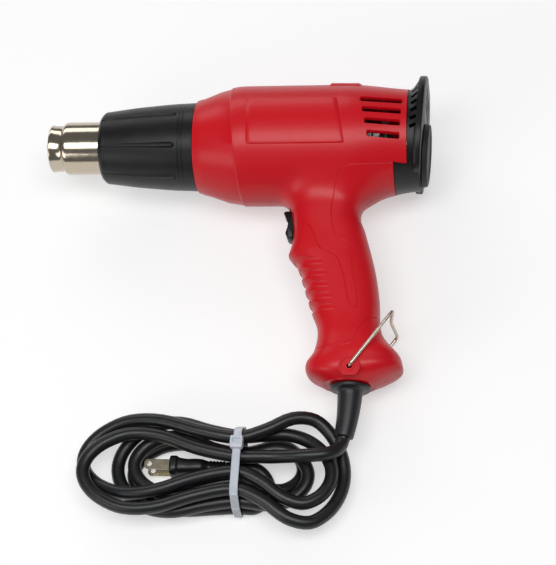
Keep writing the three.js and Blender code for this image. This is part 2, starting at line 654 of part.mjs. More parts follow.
function frontShroud() {
  const front = -SHROUD_FRONT;
  const opening = NOZZLE_RADIUS + 1.2;
  const radius = through([[front, SHROUD_FRONT_RADIUS - 2.4], [front + 2, SHROUD_FRONT_RADIUS - 0.5],
    [front + 5, SHROUD_FRONT_RADIUS], [front + 21, SHROUD_FRONT_RADIUS + 2.1], [front + 34, SHROUD_REAR_RADIUS - 1.9],
    [front + 46, SHROUD_REAR_RADIUS - 0.9], [-GAP, SHROUD_REAR_RADIUS]]);
  const outer = [0, 0.9, 2, 5, 21, 36, 52].map((along) => [front + along, radius(front + along)]);
  const rings = [10.4, 8].flatMap((x) => [[-x, radius(-x)], [-x + 0.3, radius(-x) - 0.35], [-x + 0.9, radius(-x) - 0.35],
    [-x + 1.2, radius(-x)]]);
  const bore = SHROUD_REAR_RADIUS - SHROUD_WALL;
  const inner = [[-GAP, bore], [-SPIGOT_LENGTH - 1, bore], [front + 21, SHROUD_FRONT_RADIUS - 0.7],
    [front + 5, SHROUD_FRONT_RADIUS - SHROUD_WALL], [front + 2.6, opening + 1], [front, opening]];
  const body = turned([...outer, ...rings, [-GAP, SHROUD_REAR_RADIUS], ...inner], 30);
  const grooves = Array.from({ length: SHROUD_GROOVES }, (_, i) => {
    const angle = ((i + 0.5) / SHROUD_GROOVES) * 2 * Math.PI;
    const end = -SHROUD_GROOVE_END;
    const points = [[front + 3, radius(front + 3) + SHROUD_GROOVE_RADIUS - 0.3],
      [front + 30, radius(front + 30) + SHROUD_GROOVE_RADIUS - 0.8],
      [end, radius(end) + SHROUD_GROOVE_RADIUS - 1.3], [end + 1.2, radius(end) + SHROUD_GROOVE_RADIUS + 0.4]];
    return orientedSolid(sweep(points.map(([x, r]) => vector(x, r * Math.sin(angle), r * Math.cos(angle))),
      SHROUD_GROOVE_RADIUS, 7));
  });
  return cutAll(body, grooves);
}

// Motor, fan, duct and board

function duct() {
  const rear = MOTOR_FRONT - GAP;
  const wide = FAN_RADIUS + 1 + DUCT_WALL;
  const mouth = CAVITY_FRONT + 2;
  const early = THREE.MathUtils.lerp(mouth, FAN_FRONT - 3, 0.465);
  const late = THREE.MathUtils.lerp(mouth, FAN_FRONT - 3, 0.837);
  const cone = turned([[NOZZLE_BACK + 2 * GAP, 17.4], [NOZZLE_BACK + 2 * GAP, 19.2], [mouth, 19.4], [early, 23.4],
    [late, 28.4], [FAN_FRONT - 3, wide], [rear - 2, wide], [rear - 2, DUCT_FLANGE], [rear, DUCT_FLANGE], [rear, SHAFT_RADIUS + 2.4],
    [rear - 2, SHAFT_RADIUS + 2.4], [rear - 2, wide - DUCT_WALL], [FAN_FRONT - 3, wide - DUCT_WALL],
    [late, 28.4 - DUCT_WALL], [early, 23.4 - DUCT_WALL], [mouth, 19.4 - DUCT_WALL]], 24);
  const holes = Array.from({ length: DUCT_HOLES }, (_, i) => {
    const angle = (i / DUCT_HOLES) * 2 * Math.PI;
    return rod(24 * Math.cos(angle), 24 * Math.sin(angle), 4.8, rear - 4, rear + 1, 8);
  });
  return cutAll(cone, holes);
}

// A cylinder along x, from x0 to x1.
function rod(y, z, radius, x0, x1, segments = 16) {
  const geometry = new THREE.CylinderGeometry(radius, radius, x1 - x0, segments);
  geometry.rotateZ(-Math.PI / 2);
  geometry.translate((x0 + x1) / 2, y, z);
  return solidOf(geometry);
}

function motorBody() {
  const rear = MOTOR_FRONT + MOTOR_LENGTH;
  const hole = SHAFT_RADIUS + GAP;
  return turned([[MOTOR_FRONT, hole], [MOTOR_FRONT, MOTOR_BELL_RADIUS - 4], [MOTOR_FRONT + 1.4, MOTOR_BELL_RADIUS - 4],
    [MOTOR_FRONT + 1.4, MOTOR_RADIUS - 1], [MOTOR_FRONT + 2.4, MOTOR_RADIUS], [rear - 8, MOTOR_RADIUS],
    [rear - 7, MOTOR_RADIUS - 0.8], [rear - 3, MOTOR_RADIUS - 0.8], [rear - 3, MOTOR_BELL_RADIUS - 5],
    [rear, MOTOR_BELL_RADIUS - 5], [rear, hole]], 24);
}

function motorShaft() {
  return turned([[FAN_FRONT - 1, 0], [FAN_FRONT - 1, SHAFT_RADIUS], [MOTOR_FRONT + MOTOR_LENGTH + 1, SHAFT_RADIUS],
    [MOTOR_FRONT + MOTOR_LENGTH + 1, 0]], 16);
}

function fan() {
  const rear = FAN_FRONT + FAN_DEPTH;
  const hub = turned([[FAN_FRONT, SHAFT_RADIUS + GAP], [FAN_FRONT, 5], [FAN_FRONT + 3, FAN_HUB_RADIUS], [rear, FAN_HUB_RADIUS],
    [rear, SHAFT_RADIUS + GAP]], 21);
  const blades = Array.from({ length: FAN_BLADES }, (_, i) => {
    const chord = (FAN_DEPTH - 1.6) / Math.sin(THREE.MathUtils.degToRad(FAN_PITCH));
    const geometry = new THREE.BoxGeometry(chord, FAN_RADIUS - FAN_HUB_RADIUS + 1.4, 1.4, 1, 2, 1);
    geometry.translate(0, (FAN_RADIUS + FAN_HUB_RADIUS) / 2 - 1, 0);
    const position = geometry.attributes.position;
    for (let k = 0; k < position.count; k += 1) {
      const point = new THREE.Vector3().fromBufferAttribute(position, k);
      const pitch = THREE.MathUtils.degToRad(FAN_PITCH + 90 + 0.5 * (point.y - FAN_RADIUS));
      point.applyAxisAngle(new THREE.Vector3(0, 1, 0), pitch - Math.PI / 2);
      position.setXYZ(k, point.x, point.y, point.z);
    }
    geometry.rotateX((i / FAN_BLADES) * 2 * Math.PI);
    geometry.translate(FAN_FRONT + FAN_DEPTH / 2, 0, 0);
    return solidOf(geometry);
  });
  const swept = rod(0, 0, FAN_RADIUS, FAN_FRONT + 0.1, rear - 0.1, 36);
  return addAll(hub, blades.map((blade) => blade.intersect(swept)));
}

function rectifierBoard() {
  const front = MOTOR_FRONT + MOTOR_LENGTH + GAP;
  const board = turned([[front, SHAFT_RADIUS + 2], [front, BOARD_RADIUS], [front + BOARD_THICKNESS, BOARD_RADIUS],
    [front + BOARD_THICKNESS, SHAFT_RADIUS + 2]], 28);
  const diodes = [-1, 1].flatMap((up) => [-1, 1].map((side) => box(front + BOARD_THICKNESS - 0.4, front + BOARD_THICKNESS + 3,
    Math.min(up * 5, up * 10), Math.max(up * 5, up * 10), Math.min(side * 1.5, side * 6.5), Math.max(side * 1.5, side * 6.5))));
  return addAll(board, diodes);
}

// Rear cap with its leaning stand plate, and the pad on it

function leaning(geometry) {
  geometry.rotateZ(-THREE.MathUtils.degToRad(STAND_LEAN));
  geometry.translate(STAND_MIDDLE, 0, 0);
  return geometry;
}

// The plate's outline: an arched top, straight sides and a narrower foot.
function standOutline() {
  const w = STAND_HALF_WIDTH;
  const shoulder = STAND_TOP - 20;
  const waist = -STAND_BOTTOM + 15;
  const shape = new THREE.Shape();
  shape.moveTo(-w * 0.3, STAND_TOP);
  shape.lineTo(w * 0.3, STAND_TOP);
  shape.quadraticCurveTo(w * 0.75, STAND_TOP - 2.8, w, shoulder);
  shape.lineTo(w, 0);
  shape.quadraticCurveTo(w, waist, w * 0.72, -STAND_BOTTOM + 4);
  shape.quadraticCurveTo(w * 0.64, -STAND_BOTTOM, w * 0.5, -STAND_BOTTOM);
  shape.lineTo(-w * 0.5, -STAND_BOTTOM);
  shape.quadraticCurveTo(-w * 0.64, -STAND_BOTTOM, -w * 0.72, -STAND_BOTTOM + 4);
  shape.quadraticCurveTo(-w, waist, -w, 0);
  shape.lineTo(-w, shoulder);
  shape.quadraticCurveTo(-w * 0.75, STAND_TOP - 2.8, -w * 0.3, STAND_TOP);
  return shape;
}

function standPlate() {
  const geometry = new THREE.ExtrudeGeometry(standOutline(), { depth: STAND_THICKNESS - 1.2, bevelEnabled: true,
    bevelSize: 0.6, bevelThickness: 0.6, bevelOffset: -0.6, bevelSegments: 1, curveSegments: 4, steps: 1 });
  geometry.rotateY(Math.PI / 2);
  geometry.translate(-STAND_THICKNESS / 2 + 0.6, 0, 0);
  return orientedSolid(leaning(geometry));
}

const capInner = (x0, x1) => bodyForm(WALL, x0, x1, CAVITY_STATIONS, 20);

function rearCap() {
  const front = BODY_LENGTH + GAP;
  const reach = STAND_MIDDLE;
  const ring = bodyForm(0.2, front, reach);
  const lower = bodyForm(0.2, LOWER_STEP_X + GAP, reach).intersect(box(0, 200, -60, LOWER_STEP_Y - GAP, -60, 60));
  const cap = ring.add(lower).subtract(capInner(LOWER_STEP_X - 2, STAND_MIDDLE - 6)).add(standPlate());
  // A concave fillet carries the cap's top into the plate.
  const top = REAR_RISE + REAR_RADIUS;
  const web = [[front + 0.3, top - 6], [front + 0.3, top - 0.6]];
  for (let i = 0; i <= 4; i += 1) {
    const angle = (i / 4) * (Math.PI / 2);
    web.push([front + 0.6 + 6.2 * Math.sin(angle), top - 0.4 + 6.6 * (1 - Math.cos(angle))]);
  }
  web.push([STAND_MIDDLE + 1, top + 6.2], [STAND_MIDDLE + 1, top - 6]);
  const louvres = Array.from({ length: LOUVRE_COUNT }, (_, i) => {
    const y = REAR_RISE + REAR_RADIUS - 8 - i * LOUVRE_PITCH;
    return box(front + 1.6, STAND_MIDDLE - STAND_THICKNESS / 2 + 0.2, y - LOUVRE_HEIGHT / 2, y + LOUVRE_HEIGHT / 2, -60, 60);
  });
  const intake = Array.from({ length: 5 }, (_, i) => {
    const y = REAR_RISE + 30 - i * 5.4;
    return box(STAND_MIDDLE - 6, STAND_MIDDLE + 6, y - 1.3, y + 1.3, -16, 16);
  });
  return cutAll(cap.add(plate(web, -13, 13)), [...louvres, ...intake.slice(0, 3)]);
}

function standPad() {
  const geometry = new THREE.CylinderGeometry(PAD_RADIUS - 1.2, PAD_RADIUS, PAD_DEPTH, 32);
  geometry.rotateZ(-Math.PI / 2);
  geometry.translate(STAND_THICKNESS / 2 + GAP + PAD_DEPTH / 2, -PAD_DROP, 0);
  const ring = new THREE.CylinderGeometry(PAD_RADIUS - 6, PAD_RADIUS - 6, 1.2, 32);
  ring.rotateZ(-Math.PI / 2);
  ring.translate(STAND_THICKNESS / 2 + GAP + PAD_DEPTH, -PAD_DROP, 0);
  return orientedSolid(leaning(geometry)).subtract(solidOf(leaning(ring)));
}

// Trigger, its pin and the switch

function trigger() {
  const top = -TRIGGER_MIDDLE + TRIGGER_HEIGHT / 2;
  const bottom = -TRIGGER_MIDDLE - TRIGGER_HEIGHT / 2;
  const back = TRIGGER_PIVOT_X - 4.7;
  const outline = [[back, bottom], [63.4, bottom], [61.8, bottom + 1.6], [61.2, bottom + 4], [62.4, bottom + 8],
    [63, bottom + 10.6], [61.6, bottom + 15], [59.6, top - 2.2], [59.8, top - 0.8], [61, top], [back, top]];
  const rocker = plate([...outline].reverse(), -TRIGGER_WIDTH / 2, TRIGGER_WIDTH / 2, 0.6);
  const web = box(back - 1, TRIGGER_PIVOT_X, -TRIGGER_MIDDLE - 2.6, -TRIGGER_MIDDLE + 2.6, -TRIGGER_LUG_WIDTH / 2, TRIGGER_LUG_WIDTH / 2);
  const lug = pin(TRIGGER_PIVOT_X, -TRIGGER_MIDDLE, TRIGGER_LUG_RADIUS, -TRIGGER_LUG_WIDTH / 2, TRIGGER_LUG_WIDTH / 2, 20);
  const bore = pin(TRIGGER_PIVOT_X, -TRIGGER_MIDDLE, TRIGGER_PIN_RADIUS + GAP, -10, 10, 16);
  return rocker.add(web).add(lug).subtract(bore);
}

function triggerPin() {
  return pin(TRIGGER_PIVOT_X, -TRIGGER_MIDDLE, TRIGGER_PIN_RADIUS, -TRIGGER_PIN_HALF, TRIGGER_PIN_HALF, 12);
}

const SWITCH_FRONT = TRIGGER_PIVOT_X + 0.6;
const TERMINAL_X = SWITCH_FRONT + 12;
const TERMINAL_REACH = SWITCH_HEIGHT / 2 + 1.5;
const TERMINAL_Z = 3.5;

function switchBody() {
  const middle = -TRIGGER_MIDDLE;
  const block = box(SWITCH_FRONT, SWITCH_FRONT + SWITCH_DEPTH, middle - SWITCH_HEIGHT / 2, middle + SWITCH_HEIGHT / 2,
    -SWITCH_WIDTH / 2, SWITCH_WIDTH / 2);
  // Two ears in the trigger's mouth hold the pin.
  const earHalf = TRIGGER_WIDTH / 2;
  const ears = box(TRIGGER_PIVOT_X - 2.4, SWITCH_FRONT + 1, middle - 6, middle + 6, -earHalf, earHalf);
  const half = TRIGGER_LUG_WIDTH / 2 + GAP;
  const slot = box(TRIGGER_PIVOT_X - 4, TRIGGER_PIVOT_X, middle - 4.4, middle + 4.4, -half, half);
  const cup = pin(TRIGGER_PIVOT_X, middle, TRIGGER_LUG_RADIUS + RUNNING_GAP, -half, half, 20);
  const bore = pin(TRIGGER_PIVOT_X, middle, TRIGGER_PIN_RADIUS + GAP, -TRIGGER_PIN_HALF - GAP, TRIGGER_PIN_HALF + GAP);
  const tabs = [-1, 1].flatMap((up) => [-1, 1].map((side) => {
    const reach = middle + up * TERMINAL_REACH;
    const root = middle + up * (SWITCH_HEIGHT / 2 - 1);
    const z = side * TERMINAL_Z;
    return box(TERMINAL_X - 1.5, TERMINAL_X + 1.5, Math.min(reach, root), Math.max(reach, root), z - 0.6, z + 0.6);
  }));
  return addAll(cutAll(block.add(ears), [slot, cup, bore]), tabs);
}

// Hanging bail: one bent wire, its ends in the two bosses of the handle base

function bail() {
  const legZ = BAIL_LEG_Z;
  const angle = THREE.MathUtils.degToRad(BAIL_ANGLE);
  const at = (reach, z) => vector(BAIL_PIVOT.x + reach * Math.cos(angle), BAIL_PIVOT.y + reach * Math.sin(angle), z);
  const notch = at(BAIL_REACH - BAIL_NOTCH_BACK, 0);
  notch.add(vector(-Math.sin(angle), Math.cos(angle), 0).multiplyScalar(BAIL_NOTCH_SIDE));
  const corners = [at(0, legZ - BAIL_PIN_LENGTH), at(0, legZ), at(BAIL_REACH, legZ), notch, at(BAIL_REACH, -legZ),
    at(0, -legZ), at(0, -legZ + BAIL_PIN_LENGTH)];
  return orientedSolid(sweep(rounded(corners, BAIL_BEND, 4), BAIL_WIRE / 2, 8));
}

// Strain relief: neck in the base, disc below it, and a boot that bends towards the nozzle

const BOOT_TOP = HANDLE_BOTTOM + GAP + RELIEF_DISC_THICKNESS;

function bootPoint(t) {
  return vector(RELIEF_X - BOOT_BEND * t * t, -BOOT_TOP - BOOT_LENGTH * t, 0);
}

// The tool rests on the panel's foot line and the bail leg, found from both radii.
const BAIL_LEG_Z = BASE_HALF_WIDTH + BOSS_HEIGHT + GAP + BAIL_WIRE / 2;
const LIE_ANGLE = (() => {
  const legY = BAIL_PIVOT.y + BAIL_BEND / 2 - BODY_RISE;
  const legZ = -BAIL_LEG_Z;
  const far = Math.hypot(legY, legZ);
  // Height of the leg's middle equals its wire radius when the body's middle is one panel radius high.
  const drop = BODY_RADIUS + PANEL_SWELL - BAIL_WIRE / 2;
  return Math.asin(drop / far) - Math.atan2(-legZ, -legY);
})();
const LIE_HEIGHT = BODY_RADIUS + PANEL_SWELL - BODY_RISE * Math.sin(LIE_ANGLE);

function strainRelief() {
  const discTop = -HANDLE_BOTTOM - GAP;
  const profile = [[0, discTop + 14], [RELIEF_NECK_RADIUS, discTop + 14], [RELIEF_NECK_RADIUS, discTop],
    [RELIEF_DISC_RADIUS - 0.8, discTop], [RELIEF_DISC_RADIUS, discTop - 1], [RELIEF_DISC_RADIUS, discTop - 2.2],
    [RELIEF_DISC_RADIUS - 1.2, discTop - RELIEF_DISC_THICKNESS], [0, discTop - RELIEF_DISC_THICKNESS]];
  const geometry = new THREE.LatheGeometry(profile.map(([r, y]) => new THREE.Vector2(r, y)).reverse(), 24);
  geometry.translate(RELIEF_X, 0, 0);
  const points = Array.from({ length: 5 }, (_, i) => bootPoint(i / 4));
  points.unshift(vector(RELIEF_X, -BOOT_TOP + 2, 0));
  const boot = orientedSolid(sweep(points, (t) => BOOT_START_RADIUS + (BOOT_END_RADIUS - BOOT_START_RADIUS) * t, 16));
  const socket = rodAlongY(RELIEF_X, CORD_DIAMETER / 2 + GAP, discTop + 8, discTop + 20, 20);
  return orientedSolid(geometry).add(boot).subtract(socket);
}

function rodAlongY(x, radius, y0, y1, segments = 16) {
  const geometry = new THREE.CylinderGeometry(radius, radius, y1 - y0, segments);
  geometry.translate(x, (y0 + y1) / 2, 0);
  return solidOf(geometry);
}

const INNER_CORD_END = -CLAMP_DROP + 12;

function innerCord() {
  return rodAlongY(RELIEF_X, CORD_DIAMETER / 2, -HANDLE_BOTTOM - GAP + 8 + GAP, INNER_CORD_END, 16);
}

function cordClamp() {
  const z = CORD_DIAMETER / 2 + GAP;
  const half = CLAMP_SPAN / 2;
  const bar = box(RELIEF_X - half - 4, RELIEF_X + half + 4, -CLAMP_DROP - CLAMP_WIDTH / 2, -CLAMP_DROP + CLAMP_WIDTH / 2, z,
    z + CLAMP_THICKNESS);
  return cutAll(bar, [-1, 1].map((end) => pin(RELIEF_X + end * half, -CLAMP_DROP, SCREW_SHANK_RADIUS + GAP, z - 1,
    z + CLAMP_THICKNESS + 1, 12)));
}

// A screw along z: its head's underside at the seat, its shank into the part by a length.
function screw(x, y, seat, length, up) {
  const points = [[0, -SCREW_HEAD_HEIGHT], [SCREW_HEAD_RADIUS * 0.72, -SCREW_HEAD_HEIGHT], [SCREW_HEAD_RADIUS, -SCREW_HEAD_HEIGHT * 0.45],
    [SCREW_HEAD_RADIUS, 0], [SCREW_SHANK_RADIUS, 0], [SCREW_SHANK_RADIUS, length - 1], [0, length]];
  const geometry = new THREE.LatheGeometry(points.map(([r, along]) => new THREE.Vector2(r, along)), 8);
  geometry.rotateX(up ? Math.PI / 2 : -Math.PI / 2);
  geometry.translate(x, y, seat);
  return orientedSolid(geometry);
}

// The cord: lead from the boot, five loops of the hank, and the tail into the plug

const CORD_RADIUS = CORD_DIAMETER / 2;
const LAYERS = [0, 1, 2, 3].map((layer) => CORD_RADIUS + layer * LAYER_RISE);
const WAIST_LIFT = TIE_THICKNESS + TIE_SLACK; // the strands lie on the tie there

// Each loop's upper and lower strand at the waist (in pitches from its middle, and their layer),
// then how far its left and right lobes reach, rise, spread and in which layer they lie.
const LOOPS = [
  { up: 0.5, low: -1.85, waistLevel: 2, left: [96.9, -5, 37.1, 2.13], right: [65, -2.2, 50.2, 0.68] },
  { up: 1.89, low: -0.59, waistLevel: 2, left: [100.1, 5, 36.4, 0.97], right: [58, -3.7, 32.2, 1.44] },
  { up: 2.35, low: -2.35, waistLevel: 1, left: [78.2, 2, 40.4, 0.57], right: [42.9, -3.6, 23.5, 0.97] },
  { up: 1.01, low: -0.87, waistLevel: 1, left: [66.9, 2.3, 28.3, 0.98], right: [38.5, 3.3, 22.4, 0] },
  { up: 1.49, low: -2.45, waistLevel: 0, left: [68.8, -0.8, 28.5, 0], right: [17.9, -9.7, 14.1, 0] },
];
const TAIL = { up: 0.2, waistLevel: 0.4 };
const TAIL_END = PLUG_FACE_X + PLUG_LENGTH + PLUG_NECK_LENGTH + GAP;
const HANK_START = HANK_X + 14;

// The lead's route from the boot, over the right lobe and down to the hank, on the floor.
const LEAD_ROUTE = [
  [101.9, -204.8, 22.3], [98.8, -209.2, 25], [93.4, -212.2, 27.6], [86.6, -213.4, 28.6], [79, -213.6, 28],
  [71.6, -213.6, 26.6], [65.4, -213.5, 25.4],
];

// The tail enters the plug as it lies at the waist.
const PLUG_Y = HANK_Y + TAIL.up * HANK_PITCH;
const PLUG_Z = PLUG_HEIGHT / 2 + GAP;

function height(level) {
  const layer = Math.floor(level);
  return THREE.MathUtils.lerp(LAYERS[layer], LAYERS[layer + 1], level - layer);
}

// A point of the hank: turn 0 is the first upper strand at the waist, and a turn is one loop.
function hankPoint(turn) {
  const loop = Math.floor(turn);
  const angle = (turn - loop) * 2 * Math.PI;
  const along = -Math.sin(angle);
  const across = Math.cos(angle);
  const here = LOOPS[loop];
  const next = loop + 1 < LOOPS.length ? LOOPS[loop + 1] : TAIL;
  const waist = across ** 6;
  const end = Math.abs(along) ** 3;
  const quarter = (turn - loop) * 4;
  const lower = quarter >= 1 && quarter < 3;
  const strand = lower ? here.low : quarter < 1 ? here.up : next.up;
  const level = quarter < 3 ? here.waistLevel : next.waistLevel;
  const [reach, rise, spread, lobeLevel] = quarter < 2 ? here.left : here.right;
  return vector(
    HANK_X + reach * along,
    HANK_Y + waist * strand * HANK_PITCH + (1 - waist) * (rise + spread * across),
    THREE.MathUtils.lerp(height(level), height(lobeLevel), end) + WAIST_LIFT * waist,
  );
}

function hankPoints() {
  const start = hankPoint(0);
  const points = [vector(HANK_START, start.y, start.z), vector((HANK_START + HANK_X) / 2, start.y, start.z)];
  for (let i = 0; i < LOOPS.length * LOOP_STEPS; i += 1) points.push(hankPoint(i / LOOP_STEPS));
  points.push(vector(HANK_X, PLUG_Y, PLUG_Z), vector(TAIL_END, PLUG_Y, PLUG_Z));
  return points;
}

// The lead leaves the boot in line with it and meets the hank straight.
function leadPoints() {
  const end = floorPoint(bootPoint(1));
  const ahead = end.clone().sub(floorPoint(bootPoint(0.9))).normalize();
  const start = hankPoint(0);
  const route = new THREE.CatmullRomCurve3([
    end.clone().addScaledVector(ahead, GAP),
    end.clone().addScaledVector(ahead, CORD_RADIUS / 2),
    ...LEAD_ROUTE.map(([x, y, z]) => vector(x, y, z)),
    vector(HANK_START + 0.8 * CORD_DIAMETER, start.y, start.z),
    vector(HANK_START + GAP, start.y, start.z),
  ]);
  return route.getPoints(18);
}

// A point of the tool's frame where it lies on the floor.
function floorPoint(point) {
  return point.clone().applyAxisAngle(vector(1, 0, 0), LIE_ANGLE).add(vector(0, 0, LIE_HEIGHT));
}

// The least gap of a tube to itself, measured on points along its straight runs.
function leastGap(points, radius) {
  const samples = points.slice(1).flatMap((end, i) => [0, 1, 2, 3].map((k) => points[i].clone().lerp(end, k / 4)));
  const along = [0];
  for (let i = 1; i < samples.length; i += 1) along.push(along[i - 1] + samples[i].distanceTo(samples[i - 1]));
  let least = Infinity;
  for (let i = 0; i < samples.length; i += 1) {
    for (let j = i + 1; j < samples.length; j += 1) {
      if (along[j] - along[i] > 2 * Math.PI * radius) least = Math.min(least, samples[i].distanceTo(samples[j]));
    }
  }
  return least - 2 * radius;
}

function cordHank() {
  return orientedSolid(sweep(hankPoints(), CORD_RADIUS, CORD_SIDES));
}

// Tie: a band drawn round the strands at the waist, with its square head on top
function tie() {
  const strands = [...LOOPS.flatMap((loop) => [[loop.up, loop.waistLevel], [loop.low, loop.waistLevel]]),
    [TAIL.up, TAIL.waistLevel]].map(([pitch, level]) => new THREE.Vector2(pitch * HANK_PITCH, height(level) + WAIST_LIFT));
  const steps = 32;
  const hull = (out) => Array.from({ length: steps }, (_, i) => {
    const angle = (i / steps) * 2 * Math.PI;
    const way = new THREE.Vector2(Math.cos(angle), Math.sin(angle));
    const far = strands.reduce((best, strand) => (strand.dot(way) > best.dot(way) ? strand : best));
    return far.clone().addScaledVector(way, CORD_RADIUS + TIE_SLACK + out);
  });
  // The outline lies across the hank and up; its depth runs along the strands.
  const raise = (out, depth) => {
    const geometry = new THREE.ExtrudeGeometry(new THREE.Shape(hull(out)), { depth, bevelEnabled: false, steps: 1 });
    geometry.rotateX(Math.PI / 2);
    geometry.rotateZ(Math.PI / 2);
    geometry.translate(HANK_X - depth / 2, HANK_Y, 0);
    return orientedSolid(geometry);
  };
  const top = LAYERS[2] + WAIST_LIFT + CORD_RADIUS + TIE_SLACK;
  const half = TIE_HEAD / 2;
  const headY = HANK_Y + TIE_HEAD_ACROSS;
  const head = box(HANK_X - half, HANK_X + half, headY - half, headY + half, top + 0.2, top + TIE_THICKNESS + 3.4);
  return raise(TIE_THICKNESS, TIE_WIDTH).subtract(raise(0, TIE_WIDTH + 2)).add(head);
}

function plugBody() {
  const w = PLUG_WIDTH / 2;
  const h = PLUG_HEIGHT / 2;
  // How far along, and the share of the half width and of the half height there.
  const profile = [[0, 1, 0.9], [0.8, 1, 1], [4.4, 1, 1], [5.2, 0.86, 0.9], [PLUG_LENGTH - 6, 0.8, 0.84],
    [PLUG_LENGTH, 0.62, 0.5], [PLUG_LENGTH + 6, 0.72, 0.5], [PLUG_LENGTH + PLUG_NECK_LENGTH, 0.7, 0.48]];
  const rings = profile.map(([along, wide, tall]) => Array.from({ length: 20 }, (_, i) => {
    const angle = (i / 20) * 2 * Math.PI;
    const c = Math.cos(angle);
    const n = Math.sin(angle);
    const power = along > PLUG_LENGTH - 2 ? 1 : 0.6;
    return vector(PLUG_FACE_X + along, PLUG_Y + wide * w * Math.sign(c) * Math.abs(c) ** power,
      PLUG_Z + tall * h * Math.sign(n) * Math.abs(n) ** power);
  }));
  const body = orientedSolid(loft(rings));
  return cutAll(body, [-1, 1].map((up) => bladeBox(up, GAP)));
}

function bladeBox(up, spare) {
  const z = PLUG_Z + (up * BLADE_SPACING) / 2;
  const reach = BLADE_WIDTH / 2 + spare;
  const half = BLADE_THICKNESS / 2 + spare;
  return box(PLUG_FACE_X - BLADE_LENGTH - spare, PLUG_FACE_X + 4 + spare, PLUG_Y - reach, PLUG_Y + reach, z - half, z + half);
}

function cordLead() {
  return orientedSolid(sweep(leadPoints(), CORD_RADIUS, 8));
}

// Leads inside the handle: supply up to the switch, then on to the motor's board
function handleLead(side) {
  const low = -TRIGGER_MIDDLE - TERMINAL_REACH - GAP;
  const z = side * TERMINAL_Z;
  const corners = [vector(RELIEF_X, INNER_CORD_END + GAP, side * 2), vector(RELIEF_X, INNER_CORD_END + 4, side * 2),
    vector(RELIEF_X - 9, INNER_CORD_END + 12, z), vector(91, -92, z), vector(TERMINAL_X, low - 8, z),
    vector(TERMINAL_X, low, z)];
  return orientedSolid(sweep(rounded(corners, 8, 3), LEAD_RADIUS, 4));
}

function motorLead(side) {
  const top = -TRIGGER_MIDDLE + TERMINAL_REACH + GAP;
  const board = MOTOR_FRONT + MOTOR_LENGTH + GAP + BOARD_THICKNESS;
  const z = side * TERMINAL_Z;
  const corners = [vector(TERMINAL_X, top, z), vector(TERMINAL_X, top + 7, z), vector(TERMINAL_X + 14, MOTOR_LEAD_Y - 4, z),
    vector(TERMINAL_X + 26, MOTOR_LEAD_Y, z), vector(board + 5, MOTOR_LEAD_Y, z), vector(board + 5, -12, z),
    vector(board + GAP, -12, z)];
  return orientedSolid(sweep(rounded(corners, 6, 3), LEAD_RADIUS, 4));
}

// Finishes

const FINISH = {
  red: new THREE.MeshStandardMaterial({ color: 0xc8202c, roughness: 0.42, metalness: 0 }),
  black: new THREE.MeshStandardMaterial({ color: 0x232427, roughness: 0.5, metalness: 0 }),
  rubber: new THREE.MeshStandardMaterial({ color: 0x1b1c1e, roughness: 0.7, metalness: 0 }),
  nickel: new THREE.MeshStandardMaterial({ color: 0xc9c0b2, roughness: 0.2, metalness: 1 }),
  steel: new THREE.MeshStandardMaterial({ color: 0xa9a8a5, roughness: 0.35, metalness: 1 }),
  brass: new THREE.MeshStandardMaterial({ color: 0xc2a25a, roughness: 0.3, metalness: 1 }),
  ceramic: new THREE.MeshStandardMaterial({ color: 0xe4ddcc, roughness: 0.8, metalness: 0 }),
  mica: new THREE.MeshStandardMaterial({ color: 0xbfae8a, roughness: 0.6, metalness: 0 }),
  nylon: new THREE.MeshStandardMaterial({ color: 0xd5dae2, roughness: 0.45, metalness: 0 }),
  board: new THREE.MeshStandardMaterial({ color: 0x2f6b3d, roughness: 0.6, metalness: 0 }),
  lead: new THREE.MeshStandardMaterial({ color: 0xb9bdc4, roughness: 0.6, metalness: 0 }),
};

function piece(name, solid, finish) {
  const mesh = new THREE.Mesh(geometryOf(solid), FINISH[finish]);
  mesh.name = name;
  return mesh;
}

const tool = new THREE.Group();
tool.add(
  piece('housing_left', shell(1), 'red'),
  piece('housing_right', shell(-1), 'red'),
  piece('front_shroud', frontShroud(), 'black'),
  piece('nozzle', nozzle(), 'nickel'),
  piece('mica_tube', micaTube(), 'mica'),
  piece('heater_core', heaterCore(), 'ceramic'),
  piece('heater_coil', heaterCoil(), 'steel'),
  piece('air_duct', duct(), 'black'),
  piece('fan', fan(), 'black'),
  piece('motor_shaft', motorShaft(), 'steel'),
  piece('motor', motorBody(), 'steel'),
  piece('rectifier_board', rectifierBoard(), 'board'),
  piece('rear_cap', rearCap(), 'black'),
  piece('stand_pad', standPad(), 'rubber'),
  piece('trigger', trigger(), 'black'),
  piece('trigger_pin', triggerPin(), 'steel'),
  piece('switch_body', switchBody(), 'black'),
  piece('hanging_bail', bail(), 'steel'),
  piece('strain_relief', strainRelief(), 'rubber'),
  piece('inner_cord', innerCord(), 'rubber'),
  piece('cord_clamp', cordClamp(), 'black'),
  piece('supply_lead_live', handleLead(1), 'lead'),
  piece('supply_lead_neutral', handleLead(-1), 'lead'),
  piece('motor_lead_live', motorLead(1), 'lead'),
  piece('motor_lead_neutral', motorLead(-1), 'lead'),
);
SCREW_PLACES.forEach(([x, y], i) => {
  const length = SCREW_HEAD_DEPTH + GAP + SCREW_GRIP - GAP;
  tool.add(piece(`housing_screw_${i + 1}`, screw(x, y, -SCREW_HEAD_DEPTH - GAP, length, true), 'steel'));
});
[-1, 1].forEach((end, i) => {
  const seat = CORD_DIAMETER / 2 + GAP + CLAMP_THICKNESS + GAP;
  const x = RELIEF_X + (end * CLAMP_SPAN) / 2;
  tool.add(piece(`clamp_screw_${i + 1}`, screw(x, -CLAMP_DROP, seat, seat + 5, false), 'steel'));
});

